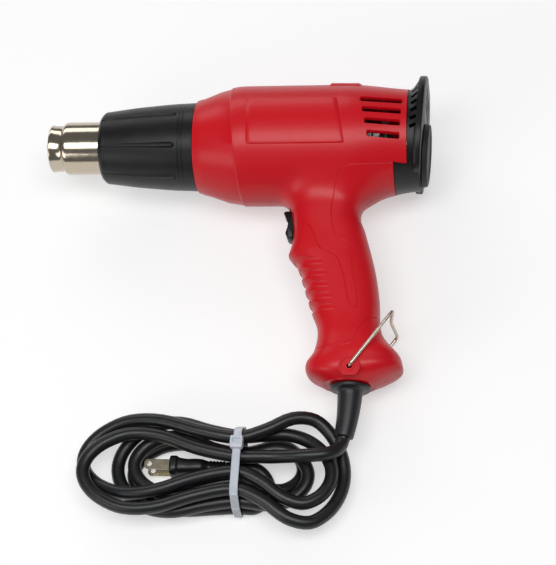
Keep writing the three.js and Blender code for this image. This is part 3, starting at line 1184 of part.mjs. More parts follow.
const cord = new THREE.Group();
cord.add(
  piece('cord_lead', cordLead(), 'rubber'),
  piece('cord_hank', cordHank(), 'rubber'),
  piece('cord_tie', tie(), 'nylon'),
  piece('plug_body', plugBody(), 'rubber'),
  piece('plug_blade_upper', bladeBox(1, 0), 'brass'),
  piece('plug_blade_lower', bladeBox(-1, 0), 'brass'),
);

// The tool lies on the right side panel and on the bail's right leg.
tool.rotation.x = LIE_ANGLE;
tool.position.z = LIE_HEIGHT;
cord.position.z = GAP;

const model = new THREE.Group();
model.add(tool, cord);
model.updateMatrixWorld(true);
const extent = new THREE.Box3().setFromObject(tool, true);
const middle = extent.getCenter(new THREE.Vector3());
model.position.set(-middle.x, -middle.y, -extent.min.z);
model.updateMatrixWorld(true);
console.log(`least gap of the hank to itself: ${leastGap(hankPoints(), CORD_RADIUS).toFixed(2)} mm`);

export default model;
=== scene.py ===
import math

import bmesh
import bpy
import numpy as np
from mathutils import Matrix, Vector


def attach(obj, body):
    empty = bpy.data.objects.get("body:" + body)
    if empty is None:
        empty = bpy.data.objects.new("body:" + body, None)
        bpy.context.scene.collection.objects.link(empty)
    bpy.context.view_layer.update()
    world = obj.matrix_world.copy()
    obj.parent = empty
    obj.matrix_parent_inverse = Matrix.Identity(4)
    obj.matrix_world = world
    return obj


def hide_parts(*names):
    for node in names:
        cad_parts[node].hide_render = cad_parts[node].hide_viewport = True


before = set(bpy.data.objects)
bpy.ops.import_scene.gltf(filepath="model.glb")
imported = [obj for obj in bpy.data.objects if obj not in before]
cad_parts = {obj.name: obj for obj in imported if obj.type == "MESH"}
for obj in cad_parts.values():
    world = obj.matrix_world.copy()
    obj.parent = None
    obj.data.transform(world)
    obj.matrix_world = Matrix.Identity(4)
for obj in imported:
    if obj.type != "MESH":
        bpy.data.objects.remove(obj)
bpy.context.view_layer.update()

# Camera
# A long lens a little over a metre away looks down on the lying tool from the side of its handle.
# The directions were found from the photograph's edges and the tool's known proportions.
CAMERA_PLACE = Vector((0.1758, -0.4882, 0.9502))
CAMERA_BACK = Vector((0.139, -0.4501, 0.8817)).normalized()
CAMERA_UP = Vector((0.0, 0.8903, 0.4549))
SENSOR = 36
FOCAL_PIXELS = 1621.8
IMAGE_HEIGHT = 565

camera = bpy.data.objects.new("camera", bpy.data.cameras.new("camera"))
camera.data.sensor_width = SENSOR
camera.data.lens = FOCAL_PIXELS / IMAGE_HEIGHT * SENSOR
camera_right = CAMERA_UP.cross(CAMERA_BACK).normalized()
camera_up = CAMERA_BACK.cross(camera_right)
camera_turn = Matrix((camera_right, camera_up, CAMERA_BACK)).transposed()
camera.matrix_world = Matrix.Translation(CAMERA_PLACE) @ camera_turn.to_4x4()
bpy.context.collection.objects.link(camera)
bpy.context.scene.camera = camera

# Supply cord
# One round black rubber cord, 8.4 mm thick. It leaves the boot, crosses the right lobe and makes
# five flattened loops, one over another, that the tie gathers at the waist; its end is in the plug.
# Lengths are millimetres: x to the right, y away from the lower edge and z up from the floor.
CORD_DIAMETER = 8.4
CORD_LIFT = 0.3
FLOOR_TO_ROW = Vector((-26.524, 77.598, -0.096))
HANK_X = 39
HANK_Y = -218
HANK_PITCH = 9.0
LAYER_RISE = 9.3
WAIST_LIFT = 2.0
LOOP_STEPS = 24
# For each loop: its upper and lower strand and layer at the waist, then the lobes' reach, rise,
# spread and layer, left and right.
LOOPS = [
    (0.5, -1.85, 2, (96.9, -5, 37.1, 2.13), (65, -2.2, 50.2, 0.68)),
    (1.89, -0.59, 2, (100.1, 5, 36.4, 0.97), (58, -3.7, 32.2, 1.44)),
    (2.35, -2.35, 1, (78.2, 2, 40.4, 0.57), (42.9, -3.6, 23.5, 0.97)),
    (1.01, -0.87, 1, (66.9, 2.3, 28.3, 0.98), (38.5, 3.3, 22.4, 0)),
    (1.49, -2.45, 0, (68.8, -0.8, 28.5, 0), (17.9, -9.7, 14.1, 0)),
]
TAIL_STRAND = 0.2
TAIL_LEVEL = 0.4
PLUG_Y = HANK_Y + TAIL_STRAND * HANK_PITCH
PLUG_Z = 9.8
LEAD_ROUTE = [
    (103.45, -198.96, 21.64), (103.12, -200.73, 21.46), (101.9, -204.8, 22.3), (98.8, -209.2, 25),
    (93.4, -212.2, 27.6), (86.6, -213.4, 28.6), (79, -213.6, 28), (71.6, -213.6, 26.6),
    (65.4, -213.5, 25.4), (59.7, -213.5, 24.8), (53, -213.5, 24.8), (46, -213.5, 24.8),
]


def layer_height(level):
    """The height of a cord's middle, in or between the layers."""
    return CORD_DIAMETER / 2 + LAYER_RISE * level


def hank_point(turn):
    """Where the cord's middle is after so many loops, counted from the first strand at the waist."""
    loop = int(turn)
    angle = (turn - loop) * 2 * math.pi
    along, across = -math.sin(angle), math.cos(angle)
    up, low, level, left, right = LOOPS[loop]
    later = LOOPS[loop + 1] if loop + 1 < len(LOOPS) else (TAIL_STRAND, 0, TAIL_LEVEL)
    quarter = (turn - loop) * 4
    strand = low if 1 <= quarter < 3 else up if quarter < 1 else later[0]
    waist_level = level if quarter < 3 else later[2]
    reach, rise, spread, lobe_level = left if quarter < 2 else right
    waist, end = across**6, abs(along) ** 3
    height = (1 - end) * layer_height(waist_level) + end * layer_height(lobe_level)
    return (
        HANK_X + reach * along,
        HANK_Y + waist * strand * HANK_PITCH + (1 - waist) * (rise + spread * across),
        height + WAIST_LIFT * waist,
    )


def smooth_run(points, steps):
    """A smooth run through the points, with so many steps between two of them."""
    points = np.asarray(points, float)
    ends = [2 * points[0] - points[1], *points, 2 * points[-1] - points[-2]]
    run = []
    for before, a, b, after in zip(ends, ends[1:], ends[2:], ends[3:]):
        span = np.linalg.norm(b - a)
        first = span + np.linalg.norm(a - before)
        last = span + np.linalg.norm(after - b)
        leave = (b - before) / first * span
        arrive = (after - a) / last * span
        for step in range(steps):
            t = step / steps
            run.append(
                (2 * t**3 - 3 * t**2 + 1) * a
                + (t**3 - 2 * t**2 + t) * leave
                + (3 * t**2 - 2 * t**3) * b
                + (t**3 - t**2) * arrive
            )
    return np.array([*run, points[-1]])


def floor_to_row(points):
    """Floor millimetres of the cord group to the row frame in metres."""
    return (np.asarray(points) + np.array(FLOOR_TO_ROW) + (0, 0, CORD_LIFT)) / 1000


def around(sides):
    """Even angles round a circle."""
    return np.arange(sides) / sides * 2 * math.pi


def tube_rings(path, radius, sides):
    """Rings along a path, carried on without twist."""
    path = np.asarray(path, float)
    tangent = np.gradient(path, axis=0)
    tangent /= np.linalg.norm(tangent, axis=1)[:, None]
    seed = np.eye(3)[np.argmin(np.abs(tangent[0]))]
    normal = np.cross(seed, tangent[0])
    angle = around(sides)
    rings = []
    for point, way in zip(path, tangent):
        normal = normal - way * (normal @ way)
        normal /= np.linalg.norm(normal)
        side = np.cross(way, normal)
        rings.append(point + radius * (np.outer(np.cos(angle), normal) + np.outer(np.sin(angle), side)))
    return np.array(rings)


def ring_solid(name, rings, closed=False):
    """A closed mesh through rings of equal counts: with fans on its ends, or joined end to start."""
    count, sides = len(rings), len(rings[0])
    points = np.asarray(rings, float).reshape(-1, 3)
    a = np.arange(sides)
    b = (a + 1) % sides
    faces = []
    for ring in range(count if closed else count - 1):
        here, there = ring * sides, (ring + 1) % count * sides
        faces += np.stack([here + a, here + b, there + b, there + a], 1).tolist()
    if not closed:
        first, last = len(points), len(points) + 1
        points = np.vstack([points, np.mean(rings[0], 0), np.mean(rings[-1], 0)])
        faces += np.stack([b, a, np.full(sides, first)], 1).tolist()
        end = (count - 1) * sides
        faces += np.stack([end + a, end + b, np.full(sides, last)], 1).tolist()
    mesh = bpy.data.meshes.new(name)
    mesh.from_pydata(points.tolist(), [], faces)
    return outward(new_object(name, mesh))


def new_object(name, mesh):
    made = bpy.data.objects.new(name, mesh)
    bpy.context.collection.objects.link(made)
    return made


def outward(piece):
    """Turns the faces of a closed piece to its outside."""
    work = bmesh.new()
    work.from_mesh(piece.data)
    if work.calc_volume(signed=True) < 0:
        bmesh.ops.reverse_faces(work, faces=work.faces)
    work.to_mesh(piece.data)
    work.free()
    return piece


def shade(piece, degrees=38):
    """Smooth shading with the edges that are sharper than an angle left crisp."""
    piece.data.polygons.foreach_set("use_smooth", [True] * len(piece.data.polygons))
    piece.data.set_sharp_from_angle(angle=math.radians(degrees))
    return piece


def finish_group():
    """Base colour, roughness and relief of a moulded or worked surface, from object coordinates."""
    group = bpy.data.node_groups.new("surface_grain", "ShaderNodeTree")
    sockets = {
        "INPUT": ("Colour", "Roughness", "Mottle", "Grain Scale", "Handling"),
        "OUTPUT": ("Colour", "Roughness", "Height"),
    }
    for direction, names in sockets.items():
        for name in names:
            kind = "NodeSocketColor" if name == "Colour" else "NodeSocketFloat"
            group.interface.new_socket(name=name, in_out=direction, socket_type=kind)
    nodes, links = group.nodes, group.links
    given, result = nodes.new("NodeGroupInput"), nodes.new("NodeGroupOutput")
    place = nodes.new("ShaderNodeTexCoord")

    def noise(scale, detail, roughness):
        made = nodes.new("ShaderNodeTexNoise")
        made.inputs["Scale"].default_value = scale
        made.inputs["Detail"].default_value = detail
        made.inputs["Roughness"].default_value = roughness
        links.new(place.outputs["Object"], made.inputs["Vector"])
        return made

    def maths(operation, first, second):
        made = nodes.new("ShaderNodeMath")
        made.operation = operation
        for socket, value in zip(made.inputs, (first, second)):
            if isinstance(value, (int, float)):
                socket.default_value = value
            else:
                links.new(value, socket)
        return made.outputs[0]

    cloud = noise(38, 3, 0.55)
    smear = noise(140, 4, 0.6)
    grain = noise(1, 2, 0.5)
    links.new(given.outputs["Grain Scale"], grain.inputs["Scale"])
    centred = maths("SUBTRACT", cloud.outputs["Fac"], 0.5)
    lighter = maths("ADD", maths("MULTIPLY", centred, given.outputs["Mottle"]), 1.0)
    shaded = nodes.new("ShaderNodeVectorMath")
    shaded.operation = "SCALE"
    links.new(given.outputs["Colour"], shaded.inputs[0])
    links.new(lighter, shaded.inputs["Scale"])
    worn = maths("MULTIPLY", maths("SUBTRACT", smear.outputs["Fac"], 0.5), given.outputs["Handling"])
    height = maths("ADD", grain.outputs["Fac"], maths("MULTIPLY", smear.outputs["Fac"], 0.3))
    links.new(shaded.outputs[0], result.inputs["Colour"])
    links.new(maths("ADD", given.outputs["Roughness"], worn), result.inputs["Roughness"])
    links.new(height, result.inputs["Height"])
    return group


SURFACE = finish_group()


def surface(
    name, colour, roughness, metallic=0.0, coat=0.0, specular=0.5,
    mottle=0.1, grain=1400, handling=0.12, relief=0.00002,
):
    """A procedural material: a colour in sRGB, with mottling, fine grain and uneven sheen."""
    made = bpy.data.materials.new(name)
    made.use_nodes = True
    nodes, links = made.node_tree.nodes, made.node_tree.links
    shader = nodes["Principled BSDF"]
    detail = nodes.new("ShaderNodeGroup")
    detail.node_tree = SURFACE
    linear = [(c / 255 / 12.92) if c < 11 else ((c / 255 + 0.055) / 1.055) ** 2.4 for c in colour]
    for socket, value in zip(detail.inputs, ((*linear, 1), roughness, mottle, grain, handling)):
        socket.default_value = value
    bump = nodes.new("ShaderNodeBump")
    bump.inputs["Strength"].default_value = 1.0
    bump.inputs["Distance"].default_value = relief
    shader.inputs["Metallic"].default_value = metallic
    shader.inputs["Specular IOR Level"].default_value = specular
    shader.inputs["Coat Weight"].default_value = coat
    shader.inputs["Coat Roughness"].default_value = 0.12
    links.new(detail.outputs["Colour"], shader.inputs["Base Color"])
    links.new(detail.outputs["Roughness"], shader.inputs["Roughness"])
    links.new(detail.outputs["Height"], bump.inputs["Height"])
    links.new(bump.outputs["Normal"], shader.inputs["Normal"])
    return made


def keep(piece, body, slot, material, *nodes):
    """Gives a piece its material and body, and hides the CAD nodes it stands for; the slot is not used."""
    piece.data.materials.clear()
    piece.data.materials.append(material)
    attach(piece, body)
    if nodes:
        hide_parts(*nodes)
    return piece


rubber = surface("cord_rubber", (22, 23, 25), 0.36, mottle=0.25, grain=900, handling=0.25, relief=0.00003)
cord_points = [*LEAD_ROUTE[:-1], *[hank_point(i / LOOP_STEPS) for i in range(len(LOOPS) * LOOP_STEPS)]]
cord_points += [(HANK_X, PLUG_Y, PLUG_Z), (30.3, PLUG_Y, PLUG_Z)]
cord_path = floor_to_row(smooth_run(cord_points, 4))
cord_piece = shade(ring_solid("supply_cord", tube_rings(cord_path, CORD_DIAMETER / 2000, 28)))
keep(cord_piece, "housing", "black_rubber", rubber, "cord_lead", "cord_hank")

# Plug
# A moulded rubber plug with a flange at its face, a waist for the fingers and a ribbed neck, and
# two flat brass blades, each with a round detent hole, that come out of its face.
PLUG_FACE_X = -5
# Distance behind the face, width, height and squareness; a rib's rings lie behind its own start
PLUG_RINGS = [
    (0, 0.86, 0.84, 0.6), (0.3, 0.95, 0.95, 0.6), (1, 1, 1, 0.6), (3.8, 1, 1, 0.6),
    (4.5, 0.97, 0.97, 0.6), (5.2, 0.87, 0.9, 0.6), (7, 0.82, 0.86, 0.65), (11, 0.76, 0.82, 0.7),
    (16, 0.8, 0.86, 0.75), (20, 0.78, 0.8, 0.8), (22.5, 0.72, 0.62, 0.9), (24, 0.66, 0.52, 1),
]
RIB_RINGS = [(0, 0.74, 0.51), (0.9, 0.76, 0.52), (1.2, 0.68, 0.465), (1.8, 0.68, 0.465)]
PLUG_WIDTH = 13
PLUG_HEIGHT = 19
NECK_RIBS = 5
NECK_START = 24.6
RIB_PITCH = 2.1
RIB_TAPER = 0.012
BLADE_SPACING = 12.7


def plug_ring(along, wide, tall, power):
    """A rounded ring of the plug, its width and height as shares of the flange's."""
    turn = around(48)
    c, s = np.cos(turn), np.sin(turn)
    y = PLUG_Y + wide * PLUG_WIDTH / 2 * np.sign(c) * np.abs(c) ** power
    z = PLUG_Z + tall * PLUG_HEIGHT / 2 * np.sign(s) * np.abs(s) ** power
    return np.stack([np.full_like(turn, PLUG_FACE_X + along), y, z], 1)


def detailed(rings, steps):
    """Rings drawn as a smooth run through the given ones."""
    rings = np.asarray(rings)
    flat = smooth_run(rings.reshape(len(rings), -1), steps)
    return flat.reshape(-1, *rings.shape[1:])


plug_rings = [plug_ring(*row) for row in PLUG_RINGS]
neck = []
for rib in range(NECK_RIBS):
    start, slim = NECK_START + rib * RIB_PITCH, 1 - RIB_TAPER * rib
    neck += [plug_ring(start + along, wide * slim, tall * slim, 1) for along, wide, tall in RIB_RINGS]
plug = shade(ring_solid("plug_body_moulded", floor_to_row([*detailed(plug_rings, 3), *neck])), 30)
keep(plug, "housing", "black_rubber", rubber, "plug_body")


def combine(base, tool, operation):
    """Joins a closed solid to another or cuts it away, and removes the tool."""
    step = base.modifiers.new("step", "BOOLEAN")
    step.solver = "MANIFOLD"
    step.operation = operation
    step.object = tool
    depsgraph = bpy.context.evaluated_depsgraph_get()
    made = bpy.data.meshes.new_from_object(base.evaluated_get(depsgraph))
    base.modifiers.remove(step)
    old = base.data
    base.data = made
    bpy.data.meshes.remove(old)
    bpy.data.objects.remove(tool)
    return base


def cut(base, tool):
    return combine(base, tool, "DIFFERENCE")


def outline_solid(name, outline, levels):
    """A closed outline of (u, v) points raised through levels of (height, inset) as rings."""
    outline = np.asarray(outline, float)
    back = np.roll(outline, 1, 0) - outline
    ahead = np.roll(outline, -1, 0) - outline
    back /= np.linalg.norm(back, axis=1)[:, None]
    ahead /= np.linalg.norm(ahead, axis=1)[:, None]
    normal = np.stack([(ahead - back)[:, 1], -(ahead - back)[:, 0]], 1)
    normal /= np.linalg.norm(normal, axis=1)[:, None]
    (u, v), (next_u, next_v) = outline.T, np.roll(outline, -1, 0).T
    inwards = -np.sign(np.sum(u * next_v - next_u * v)) * normal
    heights = [np.full(len(outline), height) for height, _ in levels]
    rings = [np.column_stack([outline + level[1] * inwards, z]) for level, z in zip(levels, heights)]
    return ring_solid(name, rings)


def rounded_corner(before, here, after, radius, steps):
    """Points of the bend that takes a corner's place."""
    back, ahead = before - here, after - here
    reach = min(radius, 0.45 * np.linalg.norm(back), 0.45 * np.linalg.norm(ahead))
    start = here + back / np.linalg.norm(back) * reach
    end = here + ahead / np.linalg.norm(ahead) * reach
    return [(1 - t) ** 2 * start + 2 * t * (1 - t) * here + t**2 * end for t in np.linspace(0, 1, steps)]


def rounded_outline(corners, radius, steps=6):
    """A closed outline with each corner rounded."""
    corners = np.asarray(corners, float)
    neighbours = zip(np.roll(corners, 1, 0), corners, np.roll(corners, -1, 0))
    return np.array([point for three in neighbours for point in rounded_corner(*three, radius, steps)])


def rectangle(half_u, half_v):
    return [(-half_u, -half_v), (half_u, -half_v), (half_u, half_v), (-half_u, half_v)]


def placed(piece, matrix):
    """Moves the mesh itself, so that the object stays at the origin."""
    piece.data.transform(matrix)
    return piece


def level_ring(x, y, radius, z, sides):
    """A circle about a line along z."""
    turn = around(sides)
    return np.stack([x + radius * np.cos(turn), y + radius * np.sin(turn), np.full_like(turn, z)], 1)


def rod(x, y, radius, z0, z1, sides=48):
    """A round bar along z."""
    return ring_solid("rod", [level_ring(x, y, radius, z, sides) for z in (z0, z1)])


BLADE_OUTLINE = [(4, -3.2), (4, 3.2), (-14.6, 3.2), (-16, 1.6), (-16, -1.6), (-14.6, -3.2)]
BLADE_LEVELS = [(-0.75, 0.2), (-0.55, 0), (0.55, 0), (0.75, 0.2)]
DETENT_X = -12.7
DETENT_RADIUS = 1.6
blade_metal = surface(
    "blade_metal", (216, 205, 178), 0.24, metallic=1, mottle=0.12, grain=600, handling=0.2
)
for name, up in (("upper", 1), ("lower", -1)):
    blade = outline_solid(f"blade_{name}", rounded_outline(BLADE_OUTLINE, 0.8, 5), BLADE_LEVELS)
    cut(blade, rod(DETENT_X, 0, DETENT_RADIUS, -3, 3, 32))
    centre = Vector((PLUG_FACE_X, PLUG_Y, PLUG_Z + up * BLADE_SPACING / 2 + CORD_LIFT)) + FLOOR_TO_ROW
    placed(blade, Matrix.Scale(0.001, 4) @ Matrix.Translation(centre))
    keep(shade(blade), "housing", "blade_brass", blade_metal, f"plug_blade_{name}")

# Cord tie
# A pale nylon tie: a thin ribbed strap drawn tight round all strands at the waist, its square head
# on top with the strap's end through it, cut off short.
TIE_WIDTH = 5
TIE_THICKNESS = 1.3
TIE_SLACK = 0.7
TOOTH_DEPTH = 0.22
HEAD_Y = HANK_Y + 11
HEAD_HALF = 4

strands = [(up, level) for up, _, level, _, _ in LOOPS] + [(low, level) for _, low, level, _, _ in LOOPS]
strands.append((TAIL_STRAND, TAIL_LEVEL))
strands = np.array([(across * HANK_PITCH, layer_height(level) + WAIST_LIFT) for across, level in strands])


def strap_path(out):
    """The closed line round the strands at some distance from the cord's skin."""
    line = []
    for angle in around(144):
        way = np.array((math.cos(angle), math.sin(angle)))
        far = strands[np.argmax(strands @ way)]
        line.append(far + way * (CORD_DIAMETER / 2 + TIE_SLACK + out))
    return np.array(line)


strap_inner, strap_outer = strap_path(0), strap_path(TIE_THICKNESS)
strap_rings = []
for index, (low, high) in enumerate(zip(strap_inner, strap_outer)):
    tooth = TOOTH_DEPTH if index % 2 else 0.0
    section = []
    for across, share in [
        (-0.5, 0.2), (-0.5, 0.75), (-0.42, 0.98), (-0.3, 1 - tooth), (0.3, 1 - tooth),
        (0.42, 0.98), (0.5, 0.75), (0.5, 0.2), (0.4, 0.0), (-0.4, 0.0),
    ]:
        y, z = low + (high - low) * share
        section.append((HANK_X + across * TIE_WIDTH, HANK_Y + y, z))
    strap_rings.append(section)
tie = ring_solid("tie_strap", strap_rings, closed=True)
head_top = layer_height(2) + WAIST_LIFT + CORD_DIAMETER / 2 + TIE_SLACK
HEAD_LEVELS = [(0.2, 0.4), (0.6, 0), (4.0, 0), (4.5, 0.25), (4.7, 0.7)]
head = outline_solid("tie_head", rounded_outline(rectangle(HEAD_HALF, HEAD_HALF), 1.4), HEAD_LEVELS)
placed(head, Matrix.Translation((HANK_X, HEAD_Y, head_top)))
combine(tie, head, "UNION")
recess = outline_solid("tie_recess", rounded_outline(rectangle(2.4, 1.4), 0.5), [(3.6, 0), (6, -0.4)])
placed(recess, Matrix.Translation((HANK_X, HEAD_Y + 0.4, head_top)))
cut(tie, recess)
placed(tie, Matrix.Scale(0.001, 4) @ Matrix.Translation(FLOOR_TO_ROW + Vector((0, 0, CORD_LIFT))))
nylon = surface("tie_nylon", (206, 211, 220), 0.38, mottle=0.08, grain=500, handling=0.1)
nylon_shader = nylon.node_tree.nodes["Principled BSDF"]
nylon_shader.inputs["Subsurface Weight"].default_value = 0.15
nylon_shader.inputs["Subsurface Scale"].default_value = 0.002
keep(shade(tie, 32), "housing", "tie_nylon", nylon, "cord_tie")

# Floor and studio light
# The tool lies on a plain white sweep, which glows a little where it is seen or mirrored. One long
# soft box hangs over it, two smaller ones stand beyond and before it, and the dim room around gives
# the bright steel its dark bands.
FLOOR_REACH = 3.0
FLOOR_GLOW = 0.5
ROOM_LIGHT = 0.17
floor_mesh = bpy.data.meshes.new("floor")
floor_mesh.from_pydata([(x, y, 0) for x, y in rectangle(FLOOR_REACH, FLOOR_REACH)], [], [(0, 1, 2, 3)])
floor = new_object("floor", floor_mesh)
paper = bpy.data.materials.new("white_sweep")
paper.use_nodes = True
paper_nodes, paper_links = paper.node_tree.nodes, paper.node_tree.links
paper_shader = paper_nodes["Principled BSDF"]
paper_shader.inputs["Base Color"].default_value = (0.6, 0.6, 0.6, 1)
paper_shader.inputs["Roughness"].default_value = 0.9
paper_shader.inputs["Specular IOR Level"].default_value = 0.1
seen = paper_nodes.new("ShaderNodeLightPath")
directly, through_glass, glow = (paper_nodes.new("ShaderNodeMath") for _ in range(3))
directly.operation = through_glass.operation = "MAXIMUM"
glow.operation = "MULTIPLY"
glow.inputs[1].default_value = FLOOR_GLOW
paper_links.new(seen.outputs["Is Camera Ray"], directly.inputs[0])
paper_links.new(seen.outputs["Is Glossy Ray"], directly.inputs[1])
paper_links.new(directly.outputs[0], through_glass.inputs[0])
paper_links.new(seen.outputs["Is Transmission Ray"], through_glass.inputs[1])
paper_links.new(through_glass.outputs[0], glow.inputs[0])
paper_shader.inputs["Emission Color"].default_value = (1, 1, 1, 1)
paper_links.new(glow.outputs[0], paper_shader.inputs["Emission Strength"])
floor.data.materials.append(paper)

world = bpy.data.worlds.new("room")
world.use_nodes = True
room = world.node_tree.nodes["Background"]
room.inputs["Color"].default_value = (0.95, 0.97, 1, 1)
room.inputs["Strength"].default_value = ROOM_LIGHT
bpy.context.scene.world = world


def soft_box(name, place, width, depth, power):
    """A rectangular lamp that looks at the middle of the floor."""
    lamp = bpy.data.lights.new(name, "AREA")
    lamp.shape = "RECTANGLE"
    lamp.size, lamp.size_y = width, depth
    lamp.energy = power
    made = bpy.data.objects.new(name, lamp)
    made.location = place
    made.rotation_euler = Vector(place).to_track_quat("Z", "Y").to_euler()
    bpy.context.collection.objects.link(made)


soft_box("overhead_box", (0.05, -0.32, 1.5), 1.5, 0.62, 14)
soft_box("far_box", (-0.5, 1.25, 0.75), 1.2, 0.5, 4.5)
soft_box("near_box", (-0.9, -1.0, 0.7), 0.8, 0.5, 3.5)
bpy.context.scene.view_settings.view_transform = "Standard"

# Housing halves
# Two moulded red nylon shells, left and right, that meet at a fine line along the tool's middle.
# The barrel runs into the handle in one soft fillet. The upper form is a smooth skin found from the
# distance to both; panel, grooves, vents, mouth and bores are joined to it and cut from it.
# From here on lengths are millimetres in the tool's own frame: x to the rear, y up and z to its
# left, from the air axis at the front rim; TOOL_TO_ROW lays it on its side.
LIE_ANGLE = math.radians(5.531)
LIE_HEIGHT = 40.9
TOOL_TO_ROW = (
    Matrix.Scale(0.001, 4)
    @ Matrix.Translation(FLOOR_TO_ROW + Vector((0, 0, LIE_HEIGHT)))
    @ Matrix.Rotation(LIE_ANGLE, 4, "X")
)
BODY_LENGTH = 139.5
BODY_RADIUS = 40
FRONT_RADIUS = 30.8
DOME_LENGTH = 33
TAPER_START = 98
TAPER_END = BODY_LENGTH + 8
REAR_RADIUS = 33.5
REAR_RISE = 2.7
WALL = 3
HANDLE_BOTTOM = 166.8
SQUARENESS = 2.5
FILLET = 12
PARTING = 0.15
SKIN_STEP = 1.25
# The handle's front, rear and half width at each distance below the air axis
HANDLE_FRONT = [
    (20, 61), (44, 62.6), (50, 64.2), (64, 66), (72, 65.6), (78, 64.3), (80, 63.7), (81.3, 64.5),
    (84, 66.8), (88, 69.8), (106, 75.9), (119, 80.3), (129, 84.2), (137, 84.8), (147, 82.6),
    (154.5, 78.2), (161.5, 80.3), (HANDLE_BOTTOM, 89.5),
]
HANDLE_REAR = [
    (20, 122), (36, 116.5), (44, 110.8), (54, 109.6), (64, 113), (90, 120), (110, 123.2), (126, 124.2),
    (134, 126), (141, 130.8), (147, 136.4), (152, 138.6), (158, 138), (HANDLE_BOTTOM, 122),
]
HANDLE_HALF = [
    (20, 20.4), (50, 18.4), (72, 17.4), (118, 17.4), (134, 18.6), (147, 21.6), (154, 22), (159, 21.8),
    (163, 19.9), (HANDLE_BOTTOM, 14.6),
]


def ease(t):
    t = np.clip(t, 0, 1)
    return t * t * (3 - 2 * t)


def through(points, at):
    """The value at each place of a smooth curve through (place, value) points."""
    places, values = np.array(points, float).T
    before = np.maximum(np.arange(len(places)) - 1, 0)
    after = np.minimum(np.arange(len(places)) + 1, len(places) - 1)
    slope = (values[after] - values[before]) / (places[after] - places[before])
    i = np.clip(np.searchsorted(places, at, side="left") - 1, 0, len(places) - 2)
    span = places[i + 1] - places[i]
    t = np.clip((at - places[i]) / span, 0, 1)
    return (
        (1 + 2 * t) * (1 - t) ** 2 * values[i]
        + t * (1 - t) ** 2 * span * slope[i]
        + t * t * (3 - 2 * t) * values[i + 1]
        + t * t * (t - 1) * span * slope[i + 1]
    )


def taper(x):
    """How far the barrel has changed from its middle to its rear form."""
    return ease((x - TAPER_START) / (TAPER_END - TAPER_START))


def body_radius(x):
    opened = np.sin(math.pi / 2 * np.clip(x / DOME_LENGTH, 0, 1))
    dome = FRONT_RADIUS + (BODY_RADIUS - FRONT_RADIUS) * opened
    return np.where(x < DOME_LENGTH, dome, BODY_RADIUS + (REAR_RADIUS - BODY_RADIUS) * taper(x))


def body_rise(x):
    return REAR_RISE * taper(x)


def barrel_gap(p):
    x, y, z = p.T
    return np.hypot(y - body_rise(x), z) - body_radius(x)


def handle_gap(p):
    x, y, z = p.T
    front, rear, half = (through(points, -y) for points in (HANDLE_FRONT, HANDLE_REAR, HANDLE_HALF))
    deep = (rear - front) / 2
    u, v = np.abs((x - (front + rear) / 2) / deep), np.abs(z / half)
    size = np.maximum((u**SQUARENESS + v**SQUARENESS) ** (1 / SQUARENESS), 1e-4)
    slope = np.hypot(u ** (SQUARENESS - 1) / deep, v ** (SQUARENESS - 1) / half)
    return (size - 1) / np.maximum(slope * size ** (1 - SQUARENESS), 1e-3)


def skin_gap(p):
    """Distance to the outer skin: the barrel and the handle, with a fillet where they meet."""
    x, y, _ = p.T
    barrel = np.maximum(barrel_gap(p), np.maximum(-3 - x, x - BODY_LENGTH - 3))
    handle = np.maximum(handle_gap(p), np.maximum(y + 20, -y - HANDLE_BOTTOM - 3))
    near = np.maximum(FILLET - np.abs(barrel - handle), 0) / FILLET
    return np.minimum(barrel, handle) - near * near * FILLET / 4


def hollow_gap(p):
    """Distance to the space inside: the same forms drawn in by the wall."""
    x, y, _ = p.T
    barrel = np.maximum(barrel_gap(p) + WALL, np.maximum(18 - x, x - BODY_LENGTH - 4))
    handle = np.maximum(handle_gap(p) + WALL, np.maximum(y + 30, -y - HANDLE_BOTTOM + 4))
    return np.minimum(barrel, handle)


def slope_of(gap, p, h=0.02):
    """The outward direction of a distance field at each point."""
    steps = np.eye(3) * h
    return np.stack([(gap(p + step) - gap(p - step)) / (2 * h) for step in steps], 1)


